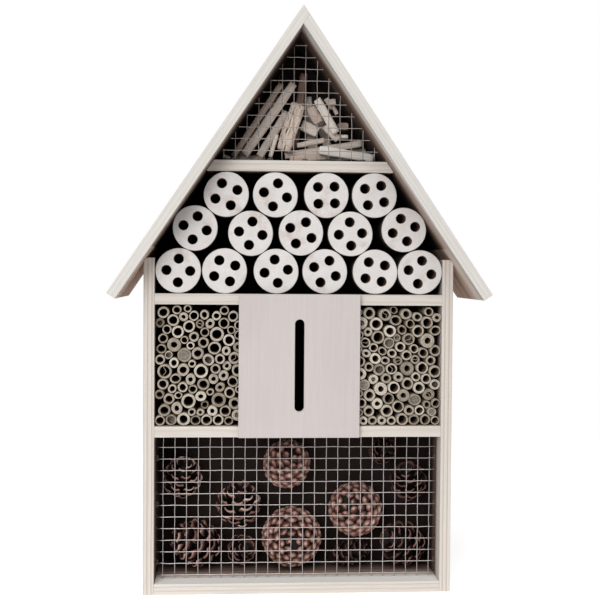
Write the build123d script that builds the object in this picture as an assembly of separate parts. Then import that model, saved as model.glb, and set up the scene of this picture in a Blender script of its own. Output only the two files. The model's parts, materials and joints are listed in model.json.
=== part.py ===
from build123d import *
import math
import os
import random

# Insect hotel: a house-shaped wooden frame with five bays. Millimetres.
# X is the width, Y the depth (front at -Y), Z up. The origin is on the ground,
# in the middle of the overall width and depth.

# ---- driving dimensions: outline ----
RIDGE_HEIGHT = 480.0
EAVE_HALF_SPAN = 155.0
EAVE_HEIGHT = 250.0
ROOF_FRONT = -50.0
ROOF_BACK = 50.0
ROOF_BOARD = 8.5
BODY_HALF_WIDTH = 128.0
BODY_FRONT = -24.0
BODY_BACK = 45.0
BOARD = 9.0
BACK_PANEL = 3.0
EDGE_ROUND = 0.5

# ---- driving dimensions: bays ----
LOWER_SHELF_Z = 130.7
UPPER_SHELF_Z = 240.2
GABLE_SHELF_Z = 350.1
SIDE_BOARD_TOP = 278.5
DIVIDER_OUTER_X = 46.0
FILLING_FRONT = BODY_FRONT + 1.0
FILLING_BACK = BODY_BACK - 1.0
EASE = 0.3

# ---- driving dimensions: butterfly panel ----
PANEL_HALF_WIDTH = 50.0
PANEL_BOTTOM = 130.9
PANEL_TOP = 249.1
PANEL_BOARD = 5.0
SLOT_WIDTH = 7.8
SLOT_BOTTOM = 152.4
SLOT_TOP = 228.6

# ---- driving dimensions: logs ----
LOG_DIAMETER = 37.5
LOG_GAP = 0.1
HOLE_DIAMETER = 8.0
HOLE_DEPTH = 55.0
HOLE_CIRCLE = 9.7
BOTTOM_LOG_X = (-99.8, -61.9, -19.5, 20.8, 62.6, 100.1)

# How far each log is turned, in degrees: bottom row, middle row, top row.
LOG_TURNS = (-2, 27, 8, -22, 34, -10, -12, -8, -25, 4, 16, 22, -12, -43, -34)

# ---- driving dimensions: wire mesh ----
WIRE = 0.7
WELD = 0.15
LOWER_MESH_FRONT = -8.7
GABLE_MESH_FRONT = -22.8
LOWER_MESH_PITCH = 9.8
LOWER_MESH_COLUMNS = 24
LOWER_MESH_ROWS = 12
LOWER_MESH_TOP_WIRE = 119.9
GABLE_MESH_PITCH = 9.58
GABLE_MESH_COLUMNS = 15
GABLE_MESH_ROWS = 10
GABLE_MESH_LOW_WIRE = 367.1
GABLE_MESH_MIDDLE_X = 3.8
FLANGE = 9.0
LOWER_STAPLE_ROWS = (1, 5, 10)
GABLE_STAPLE_COLUMNS = (-6, -3, 0, 3, 5)

# ---- driving dimensions: fasteners ----
NAIL_RADIUS = 0.9
NAIL_HEAD_RADIUS = 1.8
NAIL_HEAD = 0.8
FRAME_NAIL = 28.0
ROOF_NAIL = 16.0
BRAD = 12.0
PIN_NAIL = 14.0
STAPLE_WIRE = 0.9
STAPLE_SPAN = 3.6
STAPLE_LEG = 6.0
RIDGE_NAIL_INSET = 15.0
ROOF_NAIL_INSET = 13.0
FRAME_NAIL_INSET = 15.0
DIVIDER_NAIL_INSET = 18.0
BRAD_INSET = 6.5
PIN_NAIL_SIDE_Z = (25.0, 85.0, 175.0, 235.0)
PIN_NAIL_SHELF_X = 70.0
PIN_NAIL_GABLE_X = 40.0
SCREW_RADIUS = 1.5
SCREW_HEAD_RADIUS = 3.0
SCREW_HEAD = 1.2
SCREW_LENGTH = 12.0

# ---- driving dimensions: hanger ----
HANGER_Z = 432.0
HANGER_PLATE = 1.5
HANGER_HALF_HEIGHT = 21.0
HANGER_HALF_WIDTH = 7.5
KEYHOLE_RADIUS = 4.5
KEYHOLE_SLOT = 4.0
KEYHOLE_RISE = 8.0
KEYHOLE_EASE = 0.5
HANGER_SCREW_OFFSET = 16.5
HANGER_BLOCK = 12.0
HANGER_BLOCK_HALF_WIDTH = 16.0
HANGER_BLOCK_BELOW = 9.0
HANGER_BLOCK_ABOVE = 5.0
HANGER_BLOCK_EASE = 1.0
HANGER_POCKET_DEPTH = 9.0

# ---- driving dimensions: fillings ----
TUBE_SEED = 12
TUBE_TRIES = 25
TUBE_RADII = (3.4, 3.9, 4.3, 4.7, 5.1, 5.5, 6.0)
TUBE_SHARES = (8, 14, 18, 18, 14, 8, 4)
TUBE_BORE_SHARE = 0.62
TUBE_FRONT_PLAY = 3.0
TUBE_GAP = 0.12
KNOT_EVERY = 9
KNOT_DEPTHS = (3.0, 25.0)
KNOT_THICKNESS = 2.5

# Outline of a pine cone: share of its radius, and share of its length from the stalk end.
CONE_OUTLINE = ((0.8, 0.13), (1.0, 0.38), (0.72, 0.74))

# Pine cones: centre, radius, length, turn about Z and tilt of the tip, in degrees.
PINE_CONES = (
    ((-97.0, 20.0, 90.0), 18.5, 40.0, 20.0, 60.0),
    ((-6.8, 20.0, 100.0), 21.0, 46.0, 10.0, 50.0),
    ((51.7, 19.0, 61.8), 24.0, 46.0, -25.0, 70.0),
    ((-3.0, 19.0, 36.5), 26.5, 47.0, 0.0, 90.0),
    ((-48.0, 20.0, 66.4), 21.0, 42.0, 15.0, 35.0),
    ((-87.5, 19.0, 33.0), 22.5, 46.0, 70.0, 80.0),
    ((-45.5, 25.0, 25.0), 14.0, 32.0, 20.0, 80.0),
    ((99.0, 22.0, 85.0), 17.5, 38.0, -20.0, 50.0),
    ((94.0, 20.0, 31.5), 21.0, 43.0, -60.0, 75.0),
    ((49.5, 20.0, 22.0), 12.0, 36.0, 80.0, 85.0),
    ((78.0, 26.0, 111.0), 12.5, 30.0, 40.0, 70.0),
)

# Gable slats: lower and upper end (x, z), width, front face and thickness.
GABLE_SLATS = {
    "long_slat_1": ((-55.5, 363.9), (-15.3, 425.8), 5.6, -5.0, 5.0),
    "long_slat_2": ((-46.2, 364.9), (-5.1, 426.0), 8.0, -6.0, 5.0),
    "long_slat_3": ((-33.9, 364.6), (-10.3, 403.5), 7.5, 2.0, 5.0),
    "bark_stick": ((-13.6, 369.0), (-0.8, 409.0), 13.5, -6.0, 7.0),
    "upright_slat": ((-3.9, 373.0), (4.7, 438.1), 7.5, 12.0, 5.0),
    "leaning_slat": ((31.0, 384.7), (14.4, 413.3), 7.5, -6.0, 5.0),
    "flat_slat_1": ((-12.0, 366.5), (55.0, 378.0), 6.5, 6.0, 5.0),
    "flat_slat_2": ((16.5, 370.5), (63.0, 363.9), 8.0, -6.0, 6.0),
}

# Smaller chips, given in the same way.
WOOD_CHIPS = (
    ((33.5, 380.0), (21.5, 392.0), 7.0, 0.0, 5.0),
    ((9.5, 407.0), (17.0, 394.0), 9.0, -0.5, 5.0),
    ((2.0, 393.5), (16.5, 386.5), 10.0, 5.5, 5.0),
    ((-2.0, 374.6), (22.0, 379.5), 4.6, 0.5, 4.5),
    ((-8.1, 363.2), (24.4, 365.9), 6.0, 1.0, 4.0),
    ((34.0, 393.5), (44.0, 393.5), 7.0, 14.0, 10.0),
    ((35.4, 383.1), (42.2, 382.8), 3.5, 1.0, 6.0),
    ((26.6, 414.3), (32.6, 401.7), 3.5, 4.0, 4.0),
    ((24.0, 418.0), (30.5, 409.0), 5.0, 18.0, 4.0),
    ((24.6, 411.2), (31.0, 411.6), 5.5, -2.0, 3.5),
    ((-24.5, 363.5), (-19.0, 383.0), 3.8, -6.0, 5.0),
    ((-64.5, 364.5), (-58.0, 362.2), 3.5, -5.0, 6.0),
    ((-50.0, 363.5), (-12.0, 420.0), 9.0, 20.0, 6.0),
    ((14.0, 363.5), (8.0, 420.0), 9.0, 22.0, 6.0),
    ((20.0, 366.0), (60.0, 372.0), 9.0, 20.0, 7.0),
    ((-58.0, 363.0), (-28.0, 365.0), 6.0, 8.0, 8.0),
    ((32.0, 363.5), (18.0, 405.0), 8.0, 30.0, 6.0),
)

# ---- worked out from the above ----
SLOPE = math.atan2(RIDGE_HEIGHT - EAVE_HEIGHT, EAVE_HALF_SPAN)
ROOF_DROP = ROOF_BOARD / math.cos(SLOPE)
INNER_RIDGE = RIDGE_HEIGHT - ROOF_DROP
SIDE_INNER_X = BODY_HALF_WIDTH - BOARD
ROOF_MIDDLE_Y = (ROOF_FRONT + ROOF_BACK) / 2
RIDGE_JOINT_X = ROOF_DROP / (2 * math.tan(SLOPE))
LOG_RADIUS = LOG_DIAMETER / 2

os.makedirs("parts", exist_ok=True)


# ---- geometry helpers ----
def block(x_range, y_range, z_range):
    """Rectangular block between pairs of coordinates."""
    centre = [sum(pair) / 2 for pair in (x_range, y_range, z_range)]
    size = [abs(pair[1] - pair[0]) for pair in (x_range, y_range, z_range)]
    return Pos(*centre) * Box(*size)


def plate(outline, y_front, y_back):
    """Board cut to an outline of (x, z) points, between two depths."""
    face = make_face(Polyline(*outline, close=True))
    flat = Plane.XZ.offset(-y_back) * face
    return extrude(flat, amount=y_back - y_front)


def rod(x, z, y_front, y_back, radius):
    """Round bar that lies along Y."""
    middle = Pos(x, (y_front + y_back) / 2, z)
    return middle * Rot(90, 0, 0) * Cylinder(radius, y_back - y_front)


def pin(head, direction, length, radius, head_radius, head_height):
    """Nail or screw whose head's top is at a point and that points along a direction."""
    place = Plane(origin=head, z_dir=direction)
    low = (Align.CENTER, Align.CENTER, Align.MIN)
    shank = Cylinder(radius, length, align=low)
    cap = Cylinder(head_radius, head_height, align=low)
    return place * (shank + cap)


def nail(head, direction, length):
    """Flat-headed wire nail."""
    return pin(head, direction, length, NAIL_RADIUS, NAIL_HEAD_RADIUS, NAIL_HEAD)


def roof_inside_z(x):
    """Height of the roof's inner face at a distance from the middle."""
    return INNER_RIDGE - abs(x) * math.tan(SLOPE)


def roof_inside_x(z):
    """Half-width between the roof's inner faces at a height."""
    return (INNER_RIDGE - z) / math.tan(SLOPE)


def eased(board):
    """Board with every sharp edge slightly rounded."""
    return fillet(board.edges(), EDGE_ROUND)


def mirrored(solids):
    """Solids and their mirror images about the middle plane."""
    return solids + [mirror(solid, about=Plane.YZ) for solid in solids]


def without(board, pieces):
    """Board with the seats that its fasteners fill."""
    for piece in pieces:
        board = board - piece
    return board


# ---- roof ----
def roof_board(side, runs_through):
    """Sloping board; the one that runs through covers the other's end at the ridge."""
    step_x = ROOF_BOARD * math.sin(SLOPE)
    step_z = ROOF_BOARD * math.cos(SLOPE)
    eave = (side * EAVE_HALF_SPAN, EAVE_HEIGHT)
    eave_inside = (side * (EAVE_HALF_SPAN - step_x), EAVE_HEIGHT - step_z)
    # The joint's upper end is where one inner face meets the other board's outer face.
    joint = (RIDGE_JOINT_X, RIDGE_HEIGHT - ROOF_DROP / 2)
    inner_ridge = (0, INNER_RIDGE)
    if runs_through:
        outline = [eave, (0, RIDGE_HEIGHT), joint, inner_ridge, eave_inside]
    else:
        outline = [eave, joint, inner_ridge, eave_inside]
    return eased(plate(outline, ROOF_FRONT, ROOF_BACK))


def roof_nails():
    """Nails through the roof into the side boards, the gable shelf and the ridge joint."""
    into_right = (-math.sin(SLOPE), 0, -math.cos(SLOPE))
    bevel_x = (BODY_HALF_WIDTH + roof_inside_x(SIDE_BOARD_TOP)) / 2
    shelf_x = roof_inside_x(GABLE_SHELF_Z + BOARD / 2)
    nails = []
    for x in (bevel_x, shelf_x):
        for y in (BODY_FRONT + ROOF_NAIL_INSET, BODY_BACK - ROOF_NAIL_INSET):
            head_x = x + ROOF_BOARD * math.sin(SLOPE)
            head_z = roof_inside_z(x) + ROOF_BOARD * math.cos(SLOPE)
            nails.append(nail((head_x, y, head_z), into_right, ROOF_NAIL))
    nails = mirrored(nails)
    # Ridge nails go through the left board, square to it, into the right board's end.
    into_left = (math.sin(SLOPE), 0, -math.cos(SLOPE))
    middle_x = RIDGE_JOINT_X / 2
    head_x = middle_x - ROOF_BOARD * math.sin(SLOPE)
    head_z = INNER_RIDGE + middle_x * math.tan(SLOPE) + ROOF_BOARD * math.cos(SLOPE)
    for y in (ROOF_FRONT + RIDGE_NAIL_INSET, ROOF_MIDDLE_Y, ROOF_BACK - RIDGE_NAIL_INSET):
        nails.append(nail((head_x, y, head_z), into_left, ROOF_NAIL))
    return nails


# ---- body ----
def side_board(side):
    """Upright side board, bevelled at the top to fit under the roof."""
    outline = [
        (side * SIDE_INNER_X, 0),
        (side * BODY_HALF_WIDTH, 0),
        (side * BODY_HALF_WIDTH, roof_inside_z(BODY_HALF_WIDTH)),
        (side * roof_inside_x(SIDE_BOARD_TOP), SIDE_BOARD_TOP),
        (side * SIDE_INNER_X, SIDE_BOARD_TOP),
    ]
    return eased(plate(outline, BODY_FRONT, BODY_BACK))


def shelf(z):
    """Level board between the side boards."""
    return eased(block((-SIDE_INNER_X, SIDE_INNER_X), (BODY_FRONT, BODY_BACK), (z, z + BOARD)))


def gable_shelf():
    """Level board whose ends are bevelled to the roof's inner faces."""
    low = roof_inside_x(GABLE_SHELF_Z)
    high = roof_inside_x(GABLE_SHELF_Z + BOARD)
    top = GABLE_SHELF_Z + BOARD
    outline = [(-low, GABLE_SHELF_Z), (low, GABLE_SHELF_Z), (high, top), (-high, top)]
    return eased(plate(outline, BODY_FRONT, BODY_BACK))


def divider(side):
    """Upright board beside the butterfly chamber."""
    x_range = (side * (DIVIDER_OUTER_X - BOARD), side * DIVIDER_OUTER_X)
    return eased(block(x_range, (BODY_FRONT, BODY_BACK), (LOWER_SHELF_Z + BOARD, UPPER_SHELF_Z)))


def back_panel():
    """Thin house-shaped sheet that closes the back."""
    eave_z = roof_inside_z(BODY_HALF_WIDTH)
    outline = [
        (-BODY_HALF_WIDTH, 0),
        (BODY_HALF_WIDTH, 0),
        (BODY_HALF_WIDTH, eave_z),
        (0, INNER_RIDGE),
        (-BODY_HALF_WIDTH, eave_z),
    ]
    sheet = plate(outline, BODY_BACK, BODY_BACK + BACK_PANEL)
    return sheet - keyhole_room()


def butterfly_panel():
    """Square board with one upright round-ended slot."""
    panel = block(
        (-PANEL_HALF_WIDTH, PANEL_HALF_WIDTH),
        (BODY_FRONT - PANEL_BOARD, BODY_FRONT),
        (PANEL_BOTTOM, PANEL_TOP),
    )
    radius = SLOT_WIDTH / 2
    low = SLOT_BOTTOM + radius
    high = SLOT_TOP - radius
    through = (BODY_FRONT - PANEL_BOARD, BODY_FRONT)
    slot = block((-radius, radius), through, (low, high))
    ends = rod(0, low, *through, radius) + rod(0, high, *through, radius)
    return eased(panel - (slot + ends))


# ---- nails of the body ----
def frame_nails():
    """Nails through the side boards into the shelves, and through two shelves into the dividers."""
    nails = []
    for z in (0, LOWER_SHELF_Z, UPPER_SHELF_Z):
        for y in (BODY_FRONT + FRAME_NAIL_INSET, BODY_BACK - FRAME_NAIL_INSET):
            nails.append(nail((BODY_HALF_WIDTH, y, z + BOARD / 2), (-1, 0, 0), FRAME_NAIL))
    for y in (BODY_FRONT + DIVIDER_NAIL_INSET, BODY_BACK - DIVIDER_NAIL_INSET):
        x = DIVIDER_OUTER_X - BOARD / 2
        nails.append(nail((x, y, LOWER_SHELF_Z), (0, 0, 1), FRAME_NAIL))
        nails.append(nail((x, y, UPPER_SHELF_Z + BOARD), (0, 0, -1), FRAME_NAIL))
    return mirrored(nails)


def panel_nails():
    """Four brads that hold the butterfly panel to the shelves' front edges."""
    nails = []
    for z in (LOWER_SHELF_Z + BOARD / 2, UPPER_SHELF_Z + BOARD / 3):
        head = (PANEL_HALF_WIDTH - BRAD_INSET, BODY_FRONT - PANEL_BOARD, z)
        nails.append(nail(head, (0, 1, 0), BRAD))
    return mirrored(nails)


def back_panel_nails():
    """Pin nails around the back panel, into the frame's back edges."""
    y = BODY_BACK + BACK_PANEL
    nails = []
    side_x = BODY_HALF_WIDTH - BOARD / 2
    for z in PIN_NAIL_SIDE_Z:
        nails.append(nail((side_x, y, z), (0, -1, 0), PIN_NAIL))
    for z in (BOARD / 2, LOWER_SHELF_Z + BOARD / 2, UPPER_SHELF_Z + BOARD / 2):
        nails.append(nail((PIN_NAIL_SHELF_X, y, z), (0, -1, 0), PIN_NAIL))
    nails.append(nail((PIN_NAIL_GABLE_X, y, GABLE_SHELF_Z + BOARD / 2), (0, -1, 0), PIN_NAIL))
    return mirrored(nails)


# ---- hanger ----
def keyhole(y_front, y_back):
    """Round hole with a narrower slot above it, for a screw's head and shank."""
    top = HANGER_Z + KEYHOLE_RISE
    half = KEYHOLE_SLOT / 2
    slot = block((-half, half), (y_front, y_back), (HANGER_Z, top))
    hole = rod(0, HANGER_Z, y_front, y_back, KEYHOLE_RADIUS)
    return hole + slot + rod(0, top, y_front, y_back, half)


def keyhole_room():
    """Pocket behind the keyhole, through the back panel and into the block, for a screw's head."""
    top = HANGER_Z + KEYHOLE_RISE
    back = BODY_BACK + BACK_PANEL
    through = (back - HANGER_POCKET_DEPTH, back)
    radius = KEYHOLE_RADIUS + KEYHOLE_EASE
    middle = block((-radius, radius), through, (HANGER_Z, top))
    return middle + rod(0, HANGER_Z, *through, radius) + rod(0, top, *through, radius)


def hanger_screws():
    """Two flat-headed screws, above and below the keyhole."""
    y = BODY_BACK + BACK_PANEL + HANGER_PLATE
    screws = []
    for z in (HANGER_Z - HANGER_SCREW_OFFSET, HANGER_Z + HANGER_SCREW_OFFSET):
        head = (0, y, z)
        screws.append(
            pin(head, (0, -1, 0), SCREW_LENGTH, SCREW_RADIUS, SCREW_HEAD_RADIUS, SCREW_HEAD)
        )
    return screws


def hanger_block():
    """Wooden block under the ridge that the hanger's screws bite into."""
    half = HANGER_BLOCK_HALF_WIDTH
    bottom = HANGER_Z - HANGER_SCREW_OFFSET - HANGER_BLOCK_BELOW
    shoulder = roof_inside_z(half + HANGER_BLOCK_EASE)
    top = HANGER_Z + HANGER_SCREW_OFFSET + HANGER_BLOCK_ABOVE
    neck = roof_inside_x(top) - HANGER_BLOCK_EASE
    right = [(half, bottom), (half, shoulder), (neck, top)]
    outline = right + [(-x, z) for x, z in reversed(right)]
    body = plate(outline, BODY_BACK - HANGER_BLOCK, BODY_BACK)
    return without(body - keyhole_room(), hanger_screws())


def hanger_plate():
    """Keyhole plate with rounded ends."""
    y_front = BODY_BACK + BACK_PANEL
    y_back = y_front + HANGER_PLATE
    straight = HANGER_HALF_HEIGHT - HANGER_HALF_WIDTH
    z_range = (HANGER_Z - straight, HANGER_Z + straight)
    plate_body = block((-HANGER_HALF_WIDTH, HANGER_HALF_WIDTH), (y_front, y_back), z_range)
    for z in z_range:
        plate_body += rod(0, z, y_front, y_back, HANGER_HALF_WIDTH)
    return without(plate_body - keyhole(y_front, y_back), hanger_screws())


# ---- wire meshes ----
def wire(start, end):
    """Straight square wire whose centre line joins two points along one axis."""
    ranges = []
    for low, high in zip(start, end):
        if low == high:
            ranges.append((low - WIRE / 2, low + WIRE / 2))
        else:
            ranges.append((min(low, high), max(low, high)))
    return block(*ranges)


def joined(wires):
    """One welded solid from crossing wires."""
    return wires[0].fuse(*wires[1:])


def lower_mesh():
    """Grid across the lowest bay, with its ends bent back along the side boards."""
    row_y = LOWER_MESH_FRONT + WIRE / 2
    column_y = row_y + WIRE - WELD
    edge_x = SIDE_INNER_X - EASE - WIRE / 2
    floor = BOARD + EASE
    ceiling = LOWER_SHELF_Z - EASE
    wires = []
    for column in range(LOWER_MESH_COLUMNS):
        x = (column - (LOWER_MESH_COLUMNS - 1) / 2) * LOWER_MESH_PITCH
        wires.append(wire((x, column_y, floor), (x, column_y, ceiling)))
    for row in range(LOWER_MESH_ROWS):
        z = LOWER_MESH_TOP_WIRE - row * LOWER_MESH_PITCH
        reach = edge_x + WIRE / 2
        wires.append(wire((-reach, row_y, z), (reach, row_y, z)))
        for side in (-1, 1):
            x = side * edge_x
            wires.append(wire((x, row_y - WIRE / 2, z), (x, row_y + FLANGE, z)))
    return joined(wires)


def lower_mesh_staples():
    """Staples over the bent ends of three rows, on both sides."""
    staples = []
    for row in LOWER_STAPLE_ROWS:
        z = LOWER_MESH_TOP_WIRE - row * LOWER_MESH_PITCH
        crown = (SIDE_INNER_X - EASE - WIRE - EASE / 2, LOWER_MESH_FRONT + FLANGE / 2, z)
        staples.append(staple(crown, (1, 0, 0)))
    return mirrored(staples)


def staple(crown, direction):
    """U-shaped staple over a wire that runs along Y, its legs pointing along a direction."""
    place = Plane(origin=crown, x_dir=(0, 1, 0), z_dir=direction)
    low = (Align.CENTER, Align.CENTER, Align.MIN)
    leg = Box(STAPLE_WIRE, STAPLE_WIRE, STAPLE_LEG, align=low)
    bridge = Box(STAPLE_WIRE, STAPLE_SPAN + STAPLE_WIRE, STAPLE_WIRE, align=low)
    half = STAPLE_SPAN / 2
    legs = [Pos(0, offset, -STAPLE_WIRE / 2) * leg for offset in (-half, half)]
    return place * (Pos(0, 0, -STAPLE_WIRE) * bridge + legs[0] + legs[1])


def gable_wire_columns():
    """Places of the gable mesh's upright wires."""
    middle = (GABLE_MESH_COLUMNS - 1) // 2
    return [
        GABLE_MESH_MIDDLE_X + (column - middle) * GABLE_MESH_PITCH
        for column in range(GABLE_MESH_COLUMNS)
    ]


def gable_mesh():
    """Grid across the gable, cut along the roof, with its feet bent back over the shelf."""
    row_y = GABLE_MESH_FRONT + WIRE / 2
    column_y = row_y + WIRE - WELD
    foot_z = GABLE_SHELF_Z + BOARD + EASE + WIRE / 2
    clear = EASE + WIRE
    wires = []
    for x in gable_wire_columns():
        top = roof_inside_z(abs(x) + WIRE / 2) - clear
        if top < GABLE_MESH_LOW_WIRE + WIRE:
            continue
        wires.append(wire((x, column_y, foot_z - WIRE / 2), (x, column_y, top)))
        wires.append(wire((x, column_y - WIRE / 2, foot_z), (x, column_y + FLANGE, foot_z)))
    for row in range(GABLE_MESH_ROWS):
        z = GABLE_MESH_LOW_WIRE + row * GABLE_MESH_PITCH
        reach = roof_inside_x(z + WIRE / 2) - clear
        columns = [x for x in gable_wire_columns() if abs(x) < reach]
        if len(columns) > 1:
            wires.append(wire((-reach, row_y, z), (reach, row_y, z)))
    return joined(wires)


def gable_mesh_staples():
    """Staples over the bent feet of five columns, into the gable shelf."""
    columns = gable_wire_columns()
    middle = (GABLE_MESH_COLUMNS - 1) // 2
    crown_z = GABLE_SHELF_Z + BOARD + EASE + WIRE + EASE / 2
    staples = []
    for step in GABLE_STAPLE_COLUMNS:
        crown = (columns[middle + step], GABLE_MESH_FRONT + FLANGE / 2, crown_z)
        staples.append(staple(crown, (0, 0, -1)))
    return staples


# ---- logs ----
def resting_on(left, right):
    """Centre of a log that lies on two others."""
    reach = LOG_DIAMETER + LOG_GAP
    span_x = right[0] - left[0]
    span_z = right[1] - left[1]
    span = math.hypot(span_x, span_z)
    rise = math.sqrt(reach**2 - (span / 2) ** 2)
    return (
        (left[0] + right[0]) / 2 - rise * span_z / span,
        (left[1] + right[1]) / 2 + rise * span_x / span,
    )


def wedged_under_roof(log):
    """Centre of a log that lies on an outer log and leans on the roof."""
    side = math.copysign(1, log[0])
    reach = LOG_DIAMETER + LOG_GAP
    # Slide along the line that keeps clear of the roof until the logs touch.
    offset = (LOG_RADIUS + LOG_GAP) / math.cos(SLOPE)
    line_z = roof_inside_z(0) - offset
    run = 1 + math.tan(SLOPE) ** 2
    rise = line_z - log[1]
    half_b = abs(log[0]) + math.tan(SLOPE) * rise
    constant = log[0] ** 2 + rise**2 - reach**2
    x = (half_b - math.sqrt(half_b**2 - run * constant)) / run
    return (side * x, line_z - x * math.tan(SLOPE))


def log_centres():
    """Centres of the fifteen logs: rows of six, five and four."""
    bottom_z = UPPER_SHELF_Z + BOARD + LOG_RADIUS + LOG_GAP
    bottom = [(x, bottom_z) for x in BOTTOM_LOG_X]
    inner = [resting_on(bottom[place], bottom[place + 1]) for place in (1, 2, 3)]
    middle = [wedged_under_roof(bottom[0]), *inner, wedged_under_roof(bottom[-1])]
    top = [resting_on(middle[place], middle[place + 1]) for place in range(4)]
    return bottom + middle + top


def log(centre, turn):
    """Log section with four blind holes on a circle."""
    body = rod(*centre, FILLING_FRONT, FILLING_BACK, LOG_RADIUS)
    for quarter in range(4):
        angle = math.radians(turn + 90 * quarter)
        x = centre[0] + HOLE_CIRCLE * math.cos(angle)
        z = centre[1] + HOLE_CIRCLE * math.sin(angle)
        body -= rod(x, z, FILLING_FRONT, FILLING_FRONT + HOLE_DEPTH, HOLE_DIAMETER / 2)
    return body


# ---- bamboo and reed tubes ----
def touching_spots(first, second, radius):
    """The two centres at which a circle touches two others."""
    reach_1 = first[2] + radius + TUBE_GAP
    reach_2 = second[2] + radius + TUBE_GAP
    span_x = second[0] - first[0]
    span_z = second[1] - first[1]
    span = math.hypot(span_x, span_z)
    if span >= reach_1 + reach_2:
        return []
    along = (reach_1**2 - reach_2**2 + span**2) / (2 * span)
    across = math.sqrt(max(reach_1**2 - along**2, 0))
    unit_x = span_x / span
    unit_z = span_z / span
    foot = (first[0] + along * unit_x, first[1] + along * unit_z)
    shift = (-across * unit_z, across * unit_x)
    return [(foot[0] + side * shift[0], foot[1] + side * shift[1]) for side in (-1, 1)]


def wall_spots(tube, radius, width):
    """Centres at which a circle touches one tube and the floor or a wall."""
    reach = tube[2] + radius + TUBE_GAP
    spots = []
    floor_run = reach**2 - (radius + TUBE_GAP - tube[1]) ** 2
    if floor_run > 0:
        for side in (-1, 1):
            spots.append((tube[0] + side * math.sqrt(floor_run), radius + TUBE_GAP))
    for wall_x in (radius + TUBE_GAP, width - radius - TUBE_GAP):
        wall_rise = reach**2 - (wall_x - tube[0]) ** 2
        if wall_rise > 0:
            spots.append((wall_x, tube[1] + math.sqrt(wall_rise)))
    return spots


def is_free(spot, radius, placed, width, height):
    """Whether a circle fits at a spot."""
    edge = radius + TUBE_GAP / 2
    if not edge < spot[0] < width - edge or not edge < spot[1] < height - edge:
        return False
    for x, z, other in placed:
        if math.hypot(spot[0] - x, spot[1] - z) < radius + other + TUBE_GAP / 2:
            return False
    return True


def packed_tubes(width, height, chance):
    """Circles dropped into a bay one by one, each in the lowest free spot."""
    placed = []
    misses = 0
    while misses < TUBE_TRIES:
        radius = chance.choices(TUBE_RADII, TUBE_SHARES)[0]
        spots = [(radius + TUBE_GAP, radius + TUBE_GAP)]
        for place, tube in enumerate(placed):
            spots += wall_spots(tube, radius, width)
            for other in placed[place + 1 :]:
                spots += touching_spots(tube, other, radius)
        spots.sort(key=lambda spot: spot[1])
        spot = next((s for s in spots if is_free(s, radius, placed, width, height)), None)
        if spot:
            placed.append((*spot, radius))
        else:
            misses += 1
    return placed


def tube(x, z, radius, knot, chance):
    """Cut length of cane; a knot leaves a wall across its bore."""
    front = FILLING_FRONT + chance.uniform(0, TUBE_FRONT_PLAY)
    bore = radius * TUBE_BORE_SHARE
    body = rod(x, z, front, FILLING_BACK, radius)
    if not knot:
        return body - rod(x, z, front, FILLING_BACK, bore)
    knot_y = front + chance.uniform(*KNOT_DEPTHS)
    body -= rod(x, z, front, knot_y, bore)
    return body - rod(x, z, knot_y + KNOT_THICKNESS, FILLING_BACK, bore)


def tube_bay(side):
    """All the tubes of the left or right bay."""
    chance = random.Random(TUBE_SEED + side)
    width = SIDE_INNER_X - DIVIDER_OUTER_X
    floor = LOWER_SHELF_Z + BOARD
    height = UPPER_SHELF_Z - floor
    tubes = []
    for number, (x, z, radius) in enumerate(packed_tubes(width, height, chance)):
        knot = number % KNOT_EVERY == 0
        tubes.append(tube(side * (SIDE_INNER_X - x), floor + z, radius, knot, chance))
    return tubes


# ---- pine cones ----
def pine_cone(centre, radius, length, turn, tilt):
    """Ovoid body, blunt at the stalk end and narrower at the tip."""
    back = -length / 2
    between = [(radius * width, back + length * rise) for width, rise in CONE_OUTLINE]
    profile = Spline((0, back), *between, (0, length / 2), tangents=((1, 0), (-1, 0.1)))
    face = make_face(profile + Line((0, length / 2), (0, back)))
    body = revolve(Plane.XZ * face, axis=Axis.Z)
    return Pos(*centre) * Rot(0, 0, turn) * Rot(tilt, 0, 0) * body


# ---- gable filling ----
def slat(start, end, width, front, thickness):
    """Split slat between two (x, z) points."""
    length = math.hypot(end[0] - start[0], end[1] - start[1])
    angle = math.degrees(math.atan2(end[1] - start[1], end[0] - start[0]))
    middle = ((start[0] + end[0]) / 2, front + thickness / 2, (start[1] + end[1]) / 2)
    return Pos(*middle) * Rot(0, -angle, 0) * Box(length, thickness, width)


# ---- the object's pieces ----
def fastened_boards():
    """Boards, with seats for the nails, staples and screws that go into them."""
    frame = frame_nails()
    roof = roof_nails()
    panel = panel_nails()
    back = back_panel_nails()
    low_staples = lower_mesh_staples()
    top_staples = gable_mesh_staples()
    screws = hanger_screws()
    into_body = frame + back
    return {
        "left_roof_board": (roof_board(-1, True), roof),
        "right_roof_board": (roof_board(1, False), roof),
        "left_side_board": (side_board(-1), into_body + roof + low_staples),
        "right_side_board": (side_board(1), into_body + roof + low_staples),
        "base_board": (shelf(0), into_body),
        "lower_shelf": (shelf(LOWER_SHELF_Z), into_body + panel),
        "upper_shelf": (shelf(UPPER_SHELF_Z), into_body + panel),
        "gable_shelf": (gable_shelf(), back + roof + top_staples),
        "left_divider": (divider(-1), frame),
        "right_divider": (divider(1), frame),
        "butterfly_panel": (butterfly_panel(), panel),
        "back_panel": (back_panel(), back + screws),
    }


def near(solid, pieces):
    """The fasteners whose boxes meet a solid's box."""
    box = solid.bounding_box()
    found = []
    for piece in pieces:
        other = piece.bounding_box()
        apart = (
            other.min.X > box.max.X
            or other.max.X < box.min.X
            or other.min.Y > box.max.Y
            or other.max.Y < box.min.Y
            or other.min.Z > box.max.Z
            or other.max.Z < box.min.Z
        )
        if not apart:
            found.append(piece)
    return found


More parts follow.
